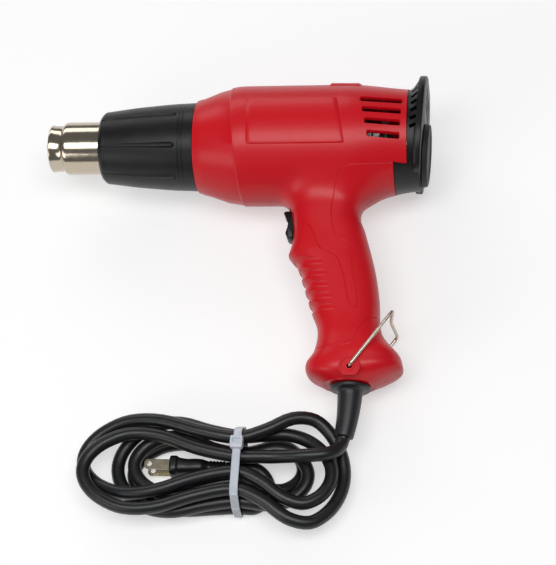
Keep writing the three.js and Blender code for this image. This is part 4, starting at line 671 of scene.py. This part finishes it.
def skin_solid(name, gap, low, high, step):
    """A closed mesh of the surface where the distance is nothing: one vertex in each cell it crosses."""
    axes = [np.arange(a, b + step, step) for a, b in zip(low, high)]
    grid = np.stack(np.meshgrid(*axes, indexing="ij"), -1)
    shape = np.array(grid.shape[:3])
    inside = (gap(grid.reshape(-1, 3)) < 0).reshape(shape)
    count = sum(
        inside[i : i + shape[0] - 1, j : j + shape[1] - 1, k : k + shape[2] - 1].astype(np.int8)
        for i in (0, 1)
        for j in (0, 1)
        for k in (0, 1)
    )
    crossed = (count > 0) & (count < 8)
    number = np.full(crossed.shape, -1)
    number[crossed] = np.arange(crossed.sum())
    points = (np.argwhere(crossed) + 0.5) * step + np.array(low)
    faces = []
    for axis in range(3):
        second, third = (axis + 1) % 3, (axis + 2) % 3
        ahead = np.roll(inside, -1, axis)
        changed = np.argwhere(inside != ahead)
        changed = changed[changed[:, axis] < shape[axis] - 1]
        corners = []
        for a, b in ((1, 1), (0, 1), (0, 0), (1, 0)):
            cell = changed.copy()
            cell[:, second] -= a
            cell[:, third] -= b
            corners.append(number[tuple(cell.T)])
        quads = np.stack(corners, 1)
        leaving = inside[tuple(changed.T)]
        quads[~leaving] = quads[~leaving][:, ::-1]
        faces.append(quads)
    faces = np.concatenate(faces)

    def drawn_to_skin(points, times):
        for _ in range(times):
            way = slope_of(gap, points)
            points = points - way * (gap(points) / np.maximum((way**2).sum(1), 0.2))[:, None]
        return points

    for _ in range(3):
        points = drawn_to_skin(points, 3)
        total, parts = np.zeros_like(points), np.zeros(len(points))
        for corner in range(4):
            for neighbour in (faces[:, (corner + 1) % 4], faces[:, (corner + 3) % 4]):
                np.add.at(total, faces[:, corner], points[neighbour])
                np.add.at(parts, faces[:, corner], 1)
        points = points + 0.5 * (total / parts[:, None] - points)
    mesh = bpy.data.meshes.new(name)
    mesh.from_pydata(drawn_to_skin(points, 4).tolist(), [], faces.tolist())
    return outward(new_object(name, mesh))


def skin_depth(x, y, side):
    """The z of the skin at each place of the side view."""
    low, high = np.zeros_like(x), np.full_like(x, 60)
    for _ in range(30):
        middle = (low + high) / 2
        within = skin_gap(np.stack([x, y, side * middle], 1)) < 0
        low, high = np.where(within, middle, low), np.where(within, high, middle)
    return side * (low + high) / 2


def axis_ring(x, radius, angle, rise=0.0):
    """Points round the air axis, or round a line that rises above it."""
    y, z = rise + radius * np.cos(angle), radius * np.sin(angle)
    return np.stack([np.broadcast_to(x, angle.shape), y, z], 1)


def block(x0, x1, y0, y1, z0, z1):
    rings = [[(x, y0, z0), (x, y1, z0), (x, y1, z1), (x, y0, z1)] for x in (x0, x1)]
    return ring_solid("block", rings)


def lathe(name, profile, sides=160):
    """A solid turned about the air axis from a closed profile of (x, radius) points."""
    return ring_solid(name, [axis_ring(x, r, around(sides)) for x, r in profile], closed=True)


def barrel_patch(name, outline, levels, side):
    """A solid over an outline on the barrel, through levels of (height over it, x inset, y inset)."""
    corners = np.asarray(outline, float)
    outline = []
    for here, ahead in zip(corners, np.roll(corners, -1, 0)):
        pieces = max(math.ceil(np.linalg.norm(ahead - here) / 1.5), 1)
        outline += [here + (ahead - here) * step / pieces for step in range(pieces)]
    outline = np.array(outline)
    middle = corners.mean(0)
    rings = []
    for over, x_inset, y_inset in levels:
        span = np.abs(outline - middle).max(0)
        ring = middle + (outline - middle) * (1 - np.array((x_inset, y_inset)) / span)
        radius = body_radius(ring[:, 0]) + over
        depth = np.sqrt(np.maximum(radius**2 - (ring[:, 1] - body_rise(ring[:, 0])) ** 2, 1))
        rings.append(np.column_stack([ring, side * depth]))
    return ring_solid(name, rings)


skin = skin_solid("housing_skin", skin_gap, (-6, -176, -46), (146, 46, 46), SKIN_STEP)
hollow = skin_solid("housing_hollow", hollow_gap, (14, -170, -44), (150, 44, 44), 2.5)

# The nose is 0.7 lower than the barrel in front of a slanted edge.
NOSE_EDGE = 27
NOSE_STEP = 0.7
NOSE_LEAN = 4
NOSE_START = -5
turn = around(192)
nose_edge = NOSE_EDGE - NOSE_LEAN * np.cos(turn)
nose_lines = [(NOSE_START + (nose_edge - NOSE_START) * share, -NOSE_STEP) for share in (0, 0.35, 0.7)]
nose_lines += [(nose_edge - 0.9, -NOSE_STEP), (nose_edge, 0.05), (nose_edge, 6)]
nose_lines.append((np.full_like(turn, NOSE_START), 9))
nose_rings = [axis_ring(x, body_radius(x) + over, turn, body_rise(x)) for x, over in nose_lines]
cut(skin, ring_solid("nose", nose_rings, closed=True))
cut(skin, block(-20, 0, -80, 80, -80, 80))
cut(skin, block(BODY_LENGTH, 160, -60, 60, -60, 60))
cut(skin, block(0, 200, -190, -HANDLE_BOTTOM, -60, 60))

# The bare side panels, their two ends sloped off, the flat hump on top, and the bail's bosses: low
# discs that widen outwards, each with a ring round its hole.
PANEL = [(37, -16.2), (100.5, -16.2), (94.5, 17.8), (35.5, 17.8)]
PANEL_SWELL = 0.9
HUMP_RISE = 1.2
HUMP_HALF_ANGLE = math.radians(38.7)
HUMP_LINE = [
    (87.4, -0.3), (88, 0.1), (88.8, 0.75), (89.5, 1.1), (90.3, 1), (106.6, 1), (107.4, 0.9), (108.2, 0.5),
    (109.6, -0.3),
]
BAIL_X, BAIL_Y = 107.7, -160.9
BOSS_ROWS = [(14, 2.6), (20, 4.6), (21.7, 5.9), (22.5, 6.7), (22.8, 6.8), (23.2, 6.4)]
BAIL_BORE = 1.7
panel_levels = [(-4, 0, 0), (0.1, 0, 0), (0.45, 0.6, 0.15), (0.85, 2.9, 0.4), (PANEL_SWELL, 3.4, 0.7)]
panel_levels += [(PANEL_SWELL, 3.4 + 28 * t, 0.7 + 16 * t) for t in np.linspace(0.08, 0.98, 9)]
hump_rings = []
hump_turn = np.linspace(-HUMP_HALF_ANGLE, HUMP_HALF_ANGLE, 61)
for x, share in HUMP_LINE:
    base = float(body_radius(x))
    crest = base + HUMP_RISE * share * (1 - (hump_turn / HUMP_HALF_ANGLE) ** 24)
    radius = np.concatenate([crest, np.full_like(crest, base - 4)])
    there_and_back = np.concatenate([hump_turn, hump_turn[::-1]])
    hump_rings.append(axis_ring(x, radius, there_and_back, float(body_rise(x))))
combine(skin, ring_solid("hump", hump_rings), "UNION")
for side in (1, -1):
    combine(skin, barrel_patch("panel", rounded_outline(PANEL, 1.6), panel_levels, side), "UNION")
    boss_rings = [level_ring(BAIL_X, BAIL_Y, r, side * z, 192) for z, r in BOSS_ROWS]
    combine(skin, ring_solid("boss", boss_rings), "UNION")
    dish = lathe("dish", [(22.7, 3.2), (22.7, 5.2), (24, 5.9), (24, 2.8)], 64)
    placed(dish, Matrix.Translation((BAIL_X, BAIL_Y, 0)) @ Matrix.Rotation(-side * math.pi / 2, 4, "Y"))
    cut(skin, dish)
cut(skin, block(0, 200, -190, -HANDLE_BOTTOM, -60, 60))

# Finger grooves that slope down round the front of the grip, inlay lines and the seam above the base.
GROOVE_COUNT = 5
GROOVE_FIRST = 86
GROOVE_PITCH = 7.7
GROOVE_FALL = 3.5
GROOVE_RADIUS = 4.2
GROOVE_DEPTH = 1.6
GROOVE_SWEEP = math.radians(80)
INLAY = [
    (132, -24), (115, -26.4), (98.6, -29.6), (93.2, -44), (92.1, -57.8), (95.4, -71), (103.3, -76.6),
    (106.9, -95.7), (110.6, -116.4), (110.2, -119.2), (107.6, -119.8), (105.6, -117.6), (97.3, -87.5),
    (85.6, -79.9), (81.2, -69.8), (77.6, -63.6), (73.8, -62.2), (70.2, -65),
]
BASE_SEAM = [
    (85.9, -146.5), (96, -146.3), (107.1, -145.3), (112, -136.6), (117.3, -127.4), (122.8, -124.9),
]


def grip_points(drop, turn, side):
    """Points of the grip's surface, turned from the middle of its front towards a side."""
    front, rear, half = (through(points, drop) for points in (HANDLE_FRONT, HANDLE_REAR, HANDLE_HALF))
    power = 2 / SQUARENESS
    x = (front + rear) / 2 - (rear - front) / 2 * np.cos(turn) ** power
    return np.stack([x, -drop, side * half * np.sin(turn) ** power], 1)


for side in (1, -1):
    for groove in range(GROOVE_COUNT):
        t = np.linspace(0, 1, 30)
        drop = GROOVE_FIRST + groove * GROOVE_PITCH + GROOVE_FALL * t
        path = grip_points(drop, GROOVE_SWEEP * t, side)
        depth = GROOVE_DEPTH * (1 - t**6)
        path = path + slope_of(handle_gap, path) * (GROOVE_RADIUS - depth)[:, None]
        path = np.vstack([path[0] - (0, 0, side * 2), path])
        cut(skin, ring_solid("groove", tube_rings(path, GROOVE_RADIUS, 32)))
    for line, width in ((INLAY, 0.42), (BASE_SEAM, 0.4)):
        flat = smooth_run(line, 6)
        sharp = np.column_stack([flat, skin_depth(flat[:, 0], flat[:, 1], side)])
        cut(skin, ring_solid("line", tube_rings(sharp, width, 10)))

# Four air slots on each side, their edges flared, and the step where the rear cap reaches forward.
VENT_COUNT = 4
VENT_PITCH = 8.35
VENT_MIDDLE = 3.2
VENT_HALF = 1.5
VENT_FRONT, VENT_REAR = 110, 136
VENT_LEVELS = [(-9, 0, 0), (-1.3, 0, 0), (0.1, -0.7, -0.7), (4, -0.7, -0.7)]
STEP_X, STEP_Y = 131, -23.6
for side in (1, -1):
    for vent in range(VENT_COUNT):
        y = VENT_MIDDLE + (vent - (VENT_COUNT - 1) / 2) * VENT_PITCH
        lean = 1.7 * (VENT_COUNT - 1 - vent)
        x0, x1 = VENT_FRONT + lean, VENT_REAR - lean * 0.25
        low, high = y - VENT_HALF, y + VENT_HALF
        outline = rounded_outline([(x0, low), (x1, low), (x1, high), (x0, high)], 1.0)
        cut(skin, barrel_patch("vent", outline, VENT_LEVELS, side))
cut(skin, block(STEP_X, 160, -60, STEP_Y, -60, 60))

# The hollow, the spigot under the shroud, the bores, and the screw posts that each half gets below.
SCREWS = [
    (44, 31.5), (44, -31.5), (122, 28.5), (100, -62), (106, -88), (108, -122), (88, -154), (127, -154),
]
HEAD_SEAT = 11
# For the left and the right half: the posts' radius, and the bores' radius, two ends and sides
POST_RADIUS = {1: 4.5, -1: 5.6}
BORES = {1: [(1.8, -1, 10, 24)], -1: [(1.8, -HEAD_SEAT - 2, 1, 24), (3.7, -60, -HEAD_SEAT, 40)]}
ALONG_HANDLE = Matrix.Rotation(math.pi / 2, 4, "X")


def duplicate(piece, name):
    made = piece.copy()
    made.data = piece.data.copy()
    made.name = name
    bpy.context.collection.objects.link(made)
    return made


posts_space = duplicate(skin, "posts_space")
cut(skin, hollow)
spigot = lathe("spigot", [(-12, 19.75), (-12, 25.9), (-11.4, 26.5), (0.5, 26.5), (20, 26), (20, 19.75)])
combine(skin, spigot, "UNION")
TRIGGER_Y = -59
PIN_X = 71.5
MOUTH_HALF_HEIGHT = 11.76
MOUTH_HALF_WIDTH = 6.3
RELIEF_X = 106.5
RELIEF_BORE = 7.3
mouth_low, mouth_high = TRIGGER_Y - MOUTH_HALF_HEIGHT, TRIGGER_Y + MOUTH_HALF_HEIGHT
mouth = block(50, PIN_X, mouth_low, mouth_high, -MOUTH_HALF_WIDTH, MOUTH_HALF_WIDTH)
relief_bore = placed(rod(RELIEF_X, 0, RELIEF_BORE, 150, 190), ALONG_HANDLE)
for tool in (mouth, relief_bore, rod(BAIL_X, BAIL_Y, BAIL_BORE, -40, 40)):
    cut(skin, tool)

red_plastic = surface(
    "red_plastic", (213, 9, 27), 0.38, coat=0.05, mottle=0.05, grain=2200, handling=0.08, specular=0.38
)


def outer_normals(piece):
    """Uses the form's own direction on the skin, so that cuts leave no shading marks beside them."""
    mesh = piece.data

    def read(items, name, width=3):
        values = np.empty(len(items) * width, float if width > 1 else int)
        items.foreach_get(name, values)
        return values.reshape(-1, width) if width > 1 else values

    points = read(mesh.vertices, "co")
    way = slope_of(skin_gap, points)
    way /= np.maximum(np.linalg.norm(way, axis=1), 1e-6)[:, None]
    on_skin = np.abs(skin_gap(points)) < 0.03
    corner = read(mesh.corner_normals, "vector")
    vertex = read(mesh.loops, "vertex_index", 1)
    facing = np.repeat(read(mesh.polygons, "normal"), read(mesh.polygons, "loop_total", 1), 0)
    aligned = on_skin[vertex] & ((facing * way[vertex]).sum(1) > 0.85)
    corner[aligned] = way[vertex][aligned]
    mesh.normals_split_custom_set(corner.tolist())
    return piece


for side, name in ((1, "left"), (-1, "right")):
    half = duplicate(skin, f"housing_{name}_shell")
    posts = duplicate(posts_space, "posts")
    pillars = None
    for x, y in SCREWS:
        span = (side * PARTING, side * 60)
        pillar = rod(x, y, POST_RADIUS[side], min(span), max(span), 32)
        pillars = pillar if pillars is None else combine(pillars, pillar, "UNION")
    combine(posts, pillars, "INTERSECT")
    combine(half, posts, "UNION")
    near, far = (-80, PARTING) if side > 0 else (-PARTING, 80)
    cut(half, block(-60, 220, -220, 80, near, far))
    for x, y in SCREWS:
        for bore in BORES[side]:
            cut(half, rod(x, y, *bore))
    shade(half, 32)
    outer_normals(half)
    placed(half, TOOL_TO_ROW)
    keep(half, "housing", "red_plastic", red_plastic, f"housing_{name}")
for done in (skin, posts_space):
    bpy.data.objects.remove(done)

# Front shroud
# A black glass-filled nylon sleeve over the hot nozzle, pushed on the housing's spigot. Eight
# flutes run back and end in a round stop, and two fine rings mark its rear.
SHROUD_RADIUS = [(-65, 22), (-63, 23.9), (-60, 24.4), (-44, 26.5), (-31, 27.7), (-19, 28.7), (-0.3, 29.6)]
FLUTES = 8
FLUTE_RADIUS = 2.2
RING_PLACES = (-10.4, -8)
RING_DEPTH = 0.22


def shroud_radius(x):
    return through(SHROUD_RADIUS, np.asarray(x, float))


outer_x = np.concatenate([np.linspace(-65, -59, 14), np.linspace(-58, -11, 24)])
outer_line = list(zip(outer_x, shroud_radius(outer_x)))
for x in RING_PLACES:
    r = float(shroud_radius(x))
    outer_line += [(x, r), (x + 0.25, r - RING_DEPTH), (x + 0.85, r - RING_DEPTH), (x + 1.1, r)]
outer_line += [(-6, 29.3), (-3, 29.47), (-0.7, 29.58), (-0.3, 29.2)]
inner_line = [
    (-0.3, 27), (-0.6, 26.8), (-13, 26.8), (-44, 23.7), (-60, 21.6), (-62.4, 19.95), (-64.6, 18.95),
    (-65, 19.3),
]
shroud = lathe("front_shroud_fluted", [*outer_line, *inner_line], 192)
flute_x = np.array([-66.5, -62, -48, -35, -24, -15, -13.9, -13.2])
flute_depth = np.array([0.1, 0.3, 0.55, 0.8, 1.05, 1.3, 0.9, -0.6])
flute_line = smooth_run(np.stack([flute_x, shroud_radius(flute_x) + FLUTE_RADIUS - flute_depth], 1), 5)
for flute in range(FLUTES):
    angle = (flute + 0.5) / FLUTES * 2 * math.pi
    path = [(x, r * math.sin(angle), r * math.cos(angle)) for x, r in flute_line]
    cut(shroud, ring_solid("flute", tube_rings(path, FLUTE_RADIUS, 36)))
black_plastic = surface(
    "black_plastic", (13, 13, 15), 0.4, mottle=0.2, grain=1800, handling=0.15, specular=0.38
)
placed(shade(shroud, 30), TOOL_TO_ROW)
keep(shroud, "housing", "black_plastic", black_plastic, "front_shroud")

# Nozzle
# A drawn stainless steel tube, nickel bright: a narrower sleeve with a rolled lip, a rounded
# shoulder, and the tube that goes back to its flange in the housing.
nozzle_line = [
    (-99.8, 14.5), (-100.4, 14.62), (-100.85, 14.85), (-101, 15.2), (-100.9, 15.6), (-100.5, 15.85),
    (-100, 15.92), (-99.4, 15.86), (-98.8, 15.66), (-98, 15.5), (-95, 15.46), (-93.2, 15.5), (-92.3, 15.62),
    (-91.7, 15.9), (-91.45, 16.4), (-91.2, 16.95), (-90.8, 17.35), (-90.2, 17.6), (-89.4, 17.72),
    (-88, 17.75), (11, 17.75), (11, 23), (14, 23), (14, 16.75), (-88.8, 16.75), (-90, 16.4), (-90.6, 15.6),
    (-91.2, 14.8), (-92, 14.5),
]
nozzle = lathe("nozzle_tube", nozzle_line, 192)
nozzle_metal = surface(
    "nozzle_steel", (192, 180, 162), 0.15, metallic=1,
    mottle=0.05, grain=300, handling=0.06, relief=0.00004,
)
placed(shade(nozzle, 50), TOOL_TO_ROW)
keep(nozzle, "housing", "nozzle_steel", nozzle_metal, "nozzle")

# Rear cap with its stand plate
# One black moulding closes the barrel. Its plate leans a little and is broad enough for the tool to
# stand on, nozzle up; slots beside and behind it let the air in. A rubber pad is fixed on the plate.
STAND_X = 147.1
STAND_LEAN = math.radians(3.2)
STAND_TOP = 43.8
STAND_BOTTOM = -27
STAND_HALF = 34
PLATE_LEVELS = [(-2.4, 0.8), (-2.1, 0.25), (-1.6, 0), (1.6, 0), (2.1, 0.25), (2.4, 0.8)]
CAP_GAP = 0.3
LEANING = Matrix.Translation((STAND_X, 0, 0)) @ Matrix.Rotation(-STAND_LEAN, 4, "Z")


def barrel_rings(places, inset):
    """Rings of the barrel's own form, drawn in by an inset."""
    turn = around(144)
    return [axis_ring(x, float(body_radius(x)) - inset, turn, float(body_rise(x))) for x in places]


def curve_points(start, bends):
    """Points of a line of quadratic bends (control, end), the straight ones given as (None, end)."""
    points = [np.array(start, float)]
    for control, end in bends:
        here, end = points[-1], np.array(end, float)
        if control is None:
            points.append(end)
            continue
        for t in np.linspace(0, 1, 11)[1:]:
            points.append((1 - t) ** 2 * here + 2 * t * (1 - t) * np.array(control) + t**2 * end)
    return points


half_outline = curve_points(
    (STAND_HALF * 0.5, STAND_BOTTOM),
    [
        ((STAND_HALF * 0.64, STAND_BOTTOM), (STAND_HALF * 0.72, STAND_BOTTOM + 4)),
        ((STAND_HALF, STAND_BOTTOM + 15), (STAND_HALF, 0)),
        (None, (STAND_HALF, STAND_TOP - 20)),
        ((STAND_HALF * 0.75, STAND_TOP - 2.8), (STAND_HALF * 0.3, STAND_TOP)),
    ],
)
stand_outline = [tuple(p) for p in half_outline] + [(-u, v) for u, v in reversed(half_outline)]
plate = outline_solid("stand_plate", stand_outline, PLATE_LEVELS)
STANDING = Matrix(((0, 0, 1, 0), (0, 1, 0, 0), (-1, 0, 0, 0), (0, 0, 0, 1)))
placed(plate, LEANING @ STANDING)
cap = ring_solid("rear_cap_moulded", barrel_rings([BODY_LENGTH + CAP_GAP, 140.4, 142, 144, STAND_X], 0.2))
lower = ring_solid("cap_lower", barrel_rings([STEP_X + CAP_GAP, 134, 138, 142, STAND_X], 0.2))
combine(lower, block(120, 200, -60, STEP_Y - CAP_GAP, -60, 60), "INTERSECT")
combine(cap, lower, "UNION")
cut(cap, ring_solid("cap_hollow", barrel_rings([129, 134, 138, 141.1], WALL)))
combine(cap, plate, "UNION")

# A trumpet-shaped flare runs from the barrel's round to the plate's outline, cut by slanted louvres
# at its sides; three intake slots go through the plate.
FLARE_START = 140.2
FLARE_LENGTH = 5
LOUVRES = 7
LOUVRE_PITCH = 5.7
LOUVRE_HALF = 1.15
LOUVRE_SLANT = math.radians(24)
LOUVRE_X = 143.4
LOUVRE_INNER = 9
LOUVRE_TOP = REAR_RISE + 29
INTAKE_SLOTS = 3
INTAKE_PITCH = 5.4
INTAKE_TOP = REAR_RISE + 30
edge_z, edge_y = np.array(stand_outline).T
edge_turn, edge_far = np.arctan2(edge_z, edge_y), np.hypot(edge_y, edge_z)
edge_reach = np.interp(around(144), edge_turn, edge_far, period=2 * math.pi)
flare_rings = []
for t in np.linspace(0, 1, 12):
    x = FLARE_START + FLARE_LENGTH * t
    _, y, z = barrel_rings([x], 0.2)[0].T
    reach = np.hypot(y, z)
    opening = (1 - math.cos(math.pi / 2 * t)) * ease(0.5 + y / 24)
    wider = 1 + opening * np.maximum((edge_reach - 0.5) / reach - 1, 0)
    y, z = y * wider, z * wider
    flare_rings.append(np.stack([x + t * y * math.tan(STAND_LEAN), y, z], 1))
combine(cap, ring_solid("flare", flare_rings), "UNION")
for louvre in range(LOUVRES):
    y = LOUVRE_TOP - louvre * LOUVRE_PITCH
    slant = Matrix.Translation((LOUVRE_X + y * 0.03, y, 0)) @ Matrix.Rotation(LOUVRE_SLANT, 4, "Z")
    for near, far in ((LOUVRE_INNER, 60), (-60, -LOUVRE_INNER)):
        cutter = block(-2.1, 2.3, -LOUVRE_HALF, LOUVRE_HALF, near, far)
        cut(cap, placed(cutter, slant))
for slot in range(INTAKE_SLOTS):
    cutter = outline_solid("intake", rounded_outline(rectangle(16, 1.3), 1.2), [(-7, 0), (7, 0)])
    place = Matrix.Translation((STAND_X, INTAKE_TOP - slot * INTAKE_PITCH, 0))
    cut(cap, placed(cutter, place @ STANDING))
placed(shade(cap, 32), TOOL_TO_ROW)
keep(cap, "housing", "black_plastic", black_plastic, "rear_cap")

PAD_ROWS = [
    (2.7, 19), (2.7, 20.4), (3.0, 21), (5.6, 20.3), (6.15, 19.9), (6.3, 19.3), (6.3, 15.4), (5.9, 15),
    (5.7, 14.6), (5.7, 3),
]
pad = ring_solid("stand_pad_moulded", [axis_ring(x, r, around(96)) for x, r in PAD_ROWS])
placed(pad, TOOL_TO_ROW @ LEANING @ Matrix.Translation((0, -8, 0)))
pad_rubber = surface("pad_rubber", (30, 31, 33), 0.6, mottle=0.3, grain=700, handling=0.2)
keep(shade(pad, 30), "housing", "black_rubber", pad_rubber, "stand_pad")

# Trigger
# A black rocker in the grip's mouth: convex ends and a hollow waist for the finger. It tips on a
# pin behind it and presses the switch.
TRIGGER_CORNERS = [
    (66.8, -68.3), (63.4, -68.3), (61.9, -67), (61.2, -64.7), (62.3, -61), (62.9, -58.4), (61.8, -54.4),
    (59.7, -51.4), (59.7, -50.4), (61, -49.7), (66.8, -49.7),
]
trigger = outline_solid(
    "trigger_rocker",
    rounded_outline(TRIGGER_CORNERS, 1.6, 5),
    [(-6, 0.7), (-5.75, 0.25), (-5.3, 0), (5.3, 0), (5.75, 0.25), (6, 0.7)],
)
combine(trigger, block(65.8, PIN_X, -61.6, -56.4, -3.5, 3.5), "UNION")
combine(trigger, rod(PIN_X, TRIGGER_Y, 3.6, -3.5, 3.5, 40), "UNION")
cut(trigger, rod(PIN_X, TRIGGER_Y, 1.3, -10, 10, 24))
placed(shade(trigger, 32), TOOL_TO_ROW)
keep(trigger, "trigger", "black_plastic", black_plastic, "trigger")

# Hanging bail
# One bent spring-steel wire whose ends snap into the two bosses. It folds against the handle and
# swings out to hang the tool; a notch in its end keeps it on a hook.
BAIL_WIRE = 2.2
BAIL_LEG = BOSS_ROWS[-1][0] + 0.3 + BAIL_WIRE / 2
BAIL_ANGLE = math.radians(54)
BAIL_REACH = 44


def bail_point(reach, z):
    return np.array((BAIL_X + reach * math.cos(BAIL_ANGLE), BAIL_Y + reach * math.sin(BAIL_ANGLE), z))


def bent_run(corners, radius):
    """A run of straight lengths with a round bend at each inner corner."""
    bends = [rounded_corner(*three, radius, 9) for three in zip(corners, corners[1:], corners[2:])]
    return np.array([corners[0], *[point for bend in bends for point in bend], corners[-1]])


notch = bail_point(BAIL_REACH - 1, 0) + 2.8 * np.array((-math.sin(BAIL_ANGLE), math.cos(BAIL_ANGLE), 0))
bail_corners = [
    bail_point(0, BAIL_LEG - 7), bail_point(0, BAIL_LEG), bail_point(BAIL_REACH, BAIL_LEG), notch,
    bail_point(BAIL_REACH, -BAIL_LEG), bail_point(0, -BAIL_LEG), bail_point(0, 7 - BAIL_LEG),
]
bail = ring_solid("bail_wire", tube_rings(bent_run(bail_corners, 4), BAIL_WIRE / 2, 20))
wire_steel = surface(
    "wire_steel", (196, 184, 170), 0.24, metallic=1, mottle=0.15, grain=500, handling=0.15
)
placed(shade(bail), TOOL_TO_ROW)
keep(bail, "bail", "steel", wire_steel, "hanging_bail")

# Strain relief
# A moulded rubber sleeve for the cord: a neck held in the base, a flange under it, and a tapered
# boot that bends a little with the cord.
BOOT_TOP = 2.9
BOOT_LENGTH = 29.9
BOOT_BEND = 3
# Distance below the base, and radius
RELIEF_ROWS = [
    (-15, 7), (0.3, 7), (0.3, 11.8), (0.5, 12.4), (0.9, 12.8), (2, 12.8), (2.6, 12.4), (BOOT_TOP, 11.6),
    (BOOT_TOP, 9.4), (3.3, 8.6), (4, 8.15),
]
RELIEF_ROWS += [(BOOT_TOP + BOOT_LENGTH * t, 8 - 2 * t) for t in np.linspace(0.08, 0.97, 16)]
RELIEF_ROWS += [(BOOT_TOP + BOOT_LENGTH - 0.3, 5.9), (BOOT_TOP + BOOT_LENGTH, 5.4)]
relief_rings = []
for drop, radius in RELIEF_ROWS:
    share = max((drop - BOOT_TOP) / BOOT_LENGTH, 0)
    lean = math.atan2(2 * BOOT_BEND * share, BOOT_LENGTH)
    across, out = radius * np.cos(around(64)), radius * np.sin(around(64))
    x = RELIEF_X - BOOT_BEND * share**2 + across * math.cos(lean)
    relief_rings.append(np.stack([x, -HANDLE_BOTTOM - drop - across * math.sin(lean), out], 1))
relief = ring_solid("strain_relief_boot", relief_rings)
socket = placed(rod(RELIEF_X, 0, 4.5, 148, 157.8, 40), ALONG_HANDLE)
cut(relief, socket)
relief_rubber = surface("relief_rubber", (30, 31, 34), 0.42, mottle=0.2, grain=1000, handling=0.2)
placed(shade(relief, 34), TOOL_TO_ROW)
keep(relief, "housing", "black_rubber", relief_rubber, "strain_relief")

# Pieces inside
# Motor, fan, heater, board, leads, clamp and screws keep the shape they have in the solid model
# and get the finish of their material.
steel = surface("plain_steel", (176, 174, 170), 0.32, metallic=1, mottle=0.15, grain=500, handling=0.2)
ceramic = surface("ceramic", (226, 220, 204), 0.75, mottle=0.12, grain=900)
mica = surface("mica", (186, 166, 128), 0.5, mottle=0.5, grain=300, handling=0.3)
laminate = surface("board_laminate", (44, 96, 58), 0.5, mottle=0.3, grain=700)
insulation = surface("lead_insulation", (176, 182, 190), 0.5, mottle=0.15, grain=900)
INSIDE = [
    (steel, "steel", ["motor", "motor_shaft", "heater_coil", "trigger_pin"]),
    (steel, "steel", ["clamp_screw_1", "clamp_screw_2"]),
    (steel, "steel", [f"housing_screw_{number + 1}" for number in range(len(SCREWS))]),
    (ceramic, "ceramic", ["heater_core"]),
    (mica, "mica", ["mica_tube"]),
    (laminate, "board", ["rectifier_board"]),
    (insulation, "lead_insulation", ["supply_lead_live", "supply_lead_neutral"]),
    (insulation, "lead_insulation", ["motor_lead_live", "motor_lead_neutral"]),
    (black_plastic, "black_plastic", ["air_duct", "fan", "switch_body", "cord_clamp"]),
    (relief_rubber, "black_rubber", ["inner_cord"]),
]
for material, slot_name, names in INSIDE:
    for name in names:
        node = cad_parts[name]
        node.data.materials.clear()
        node.data.materials.append(material)
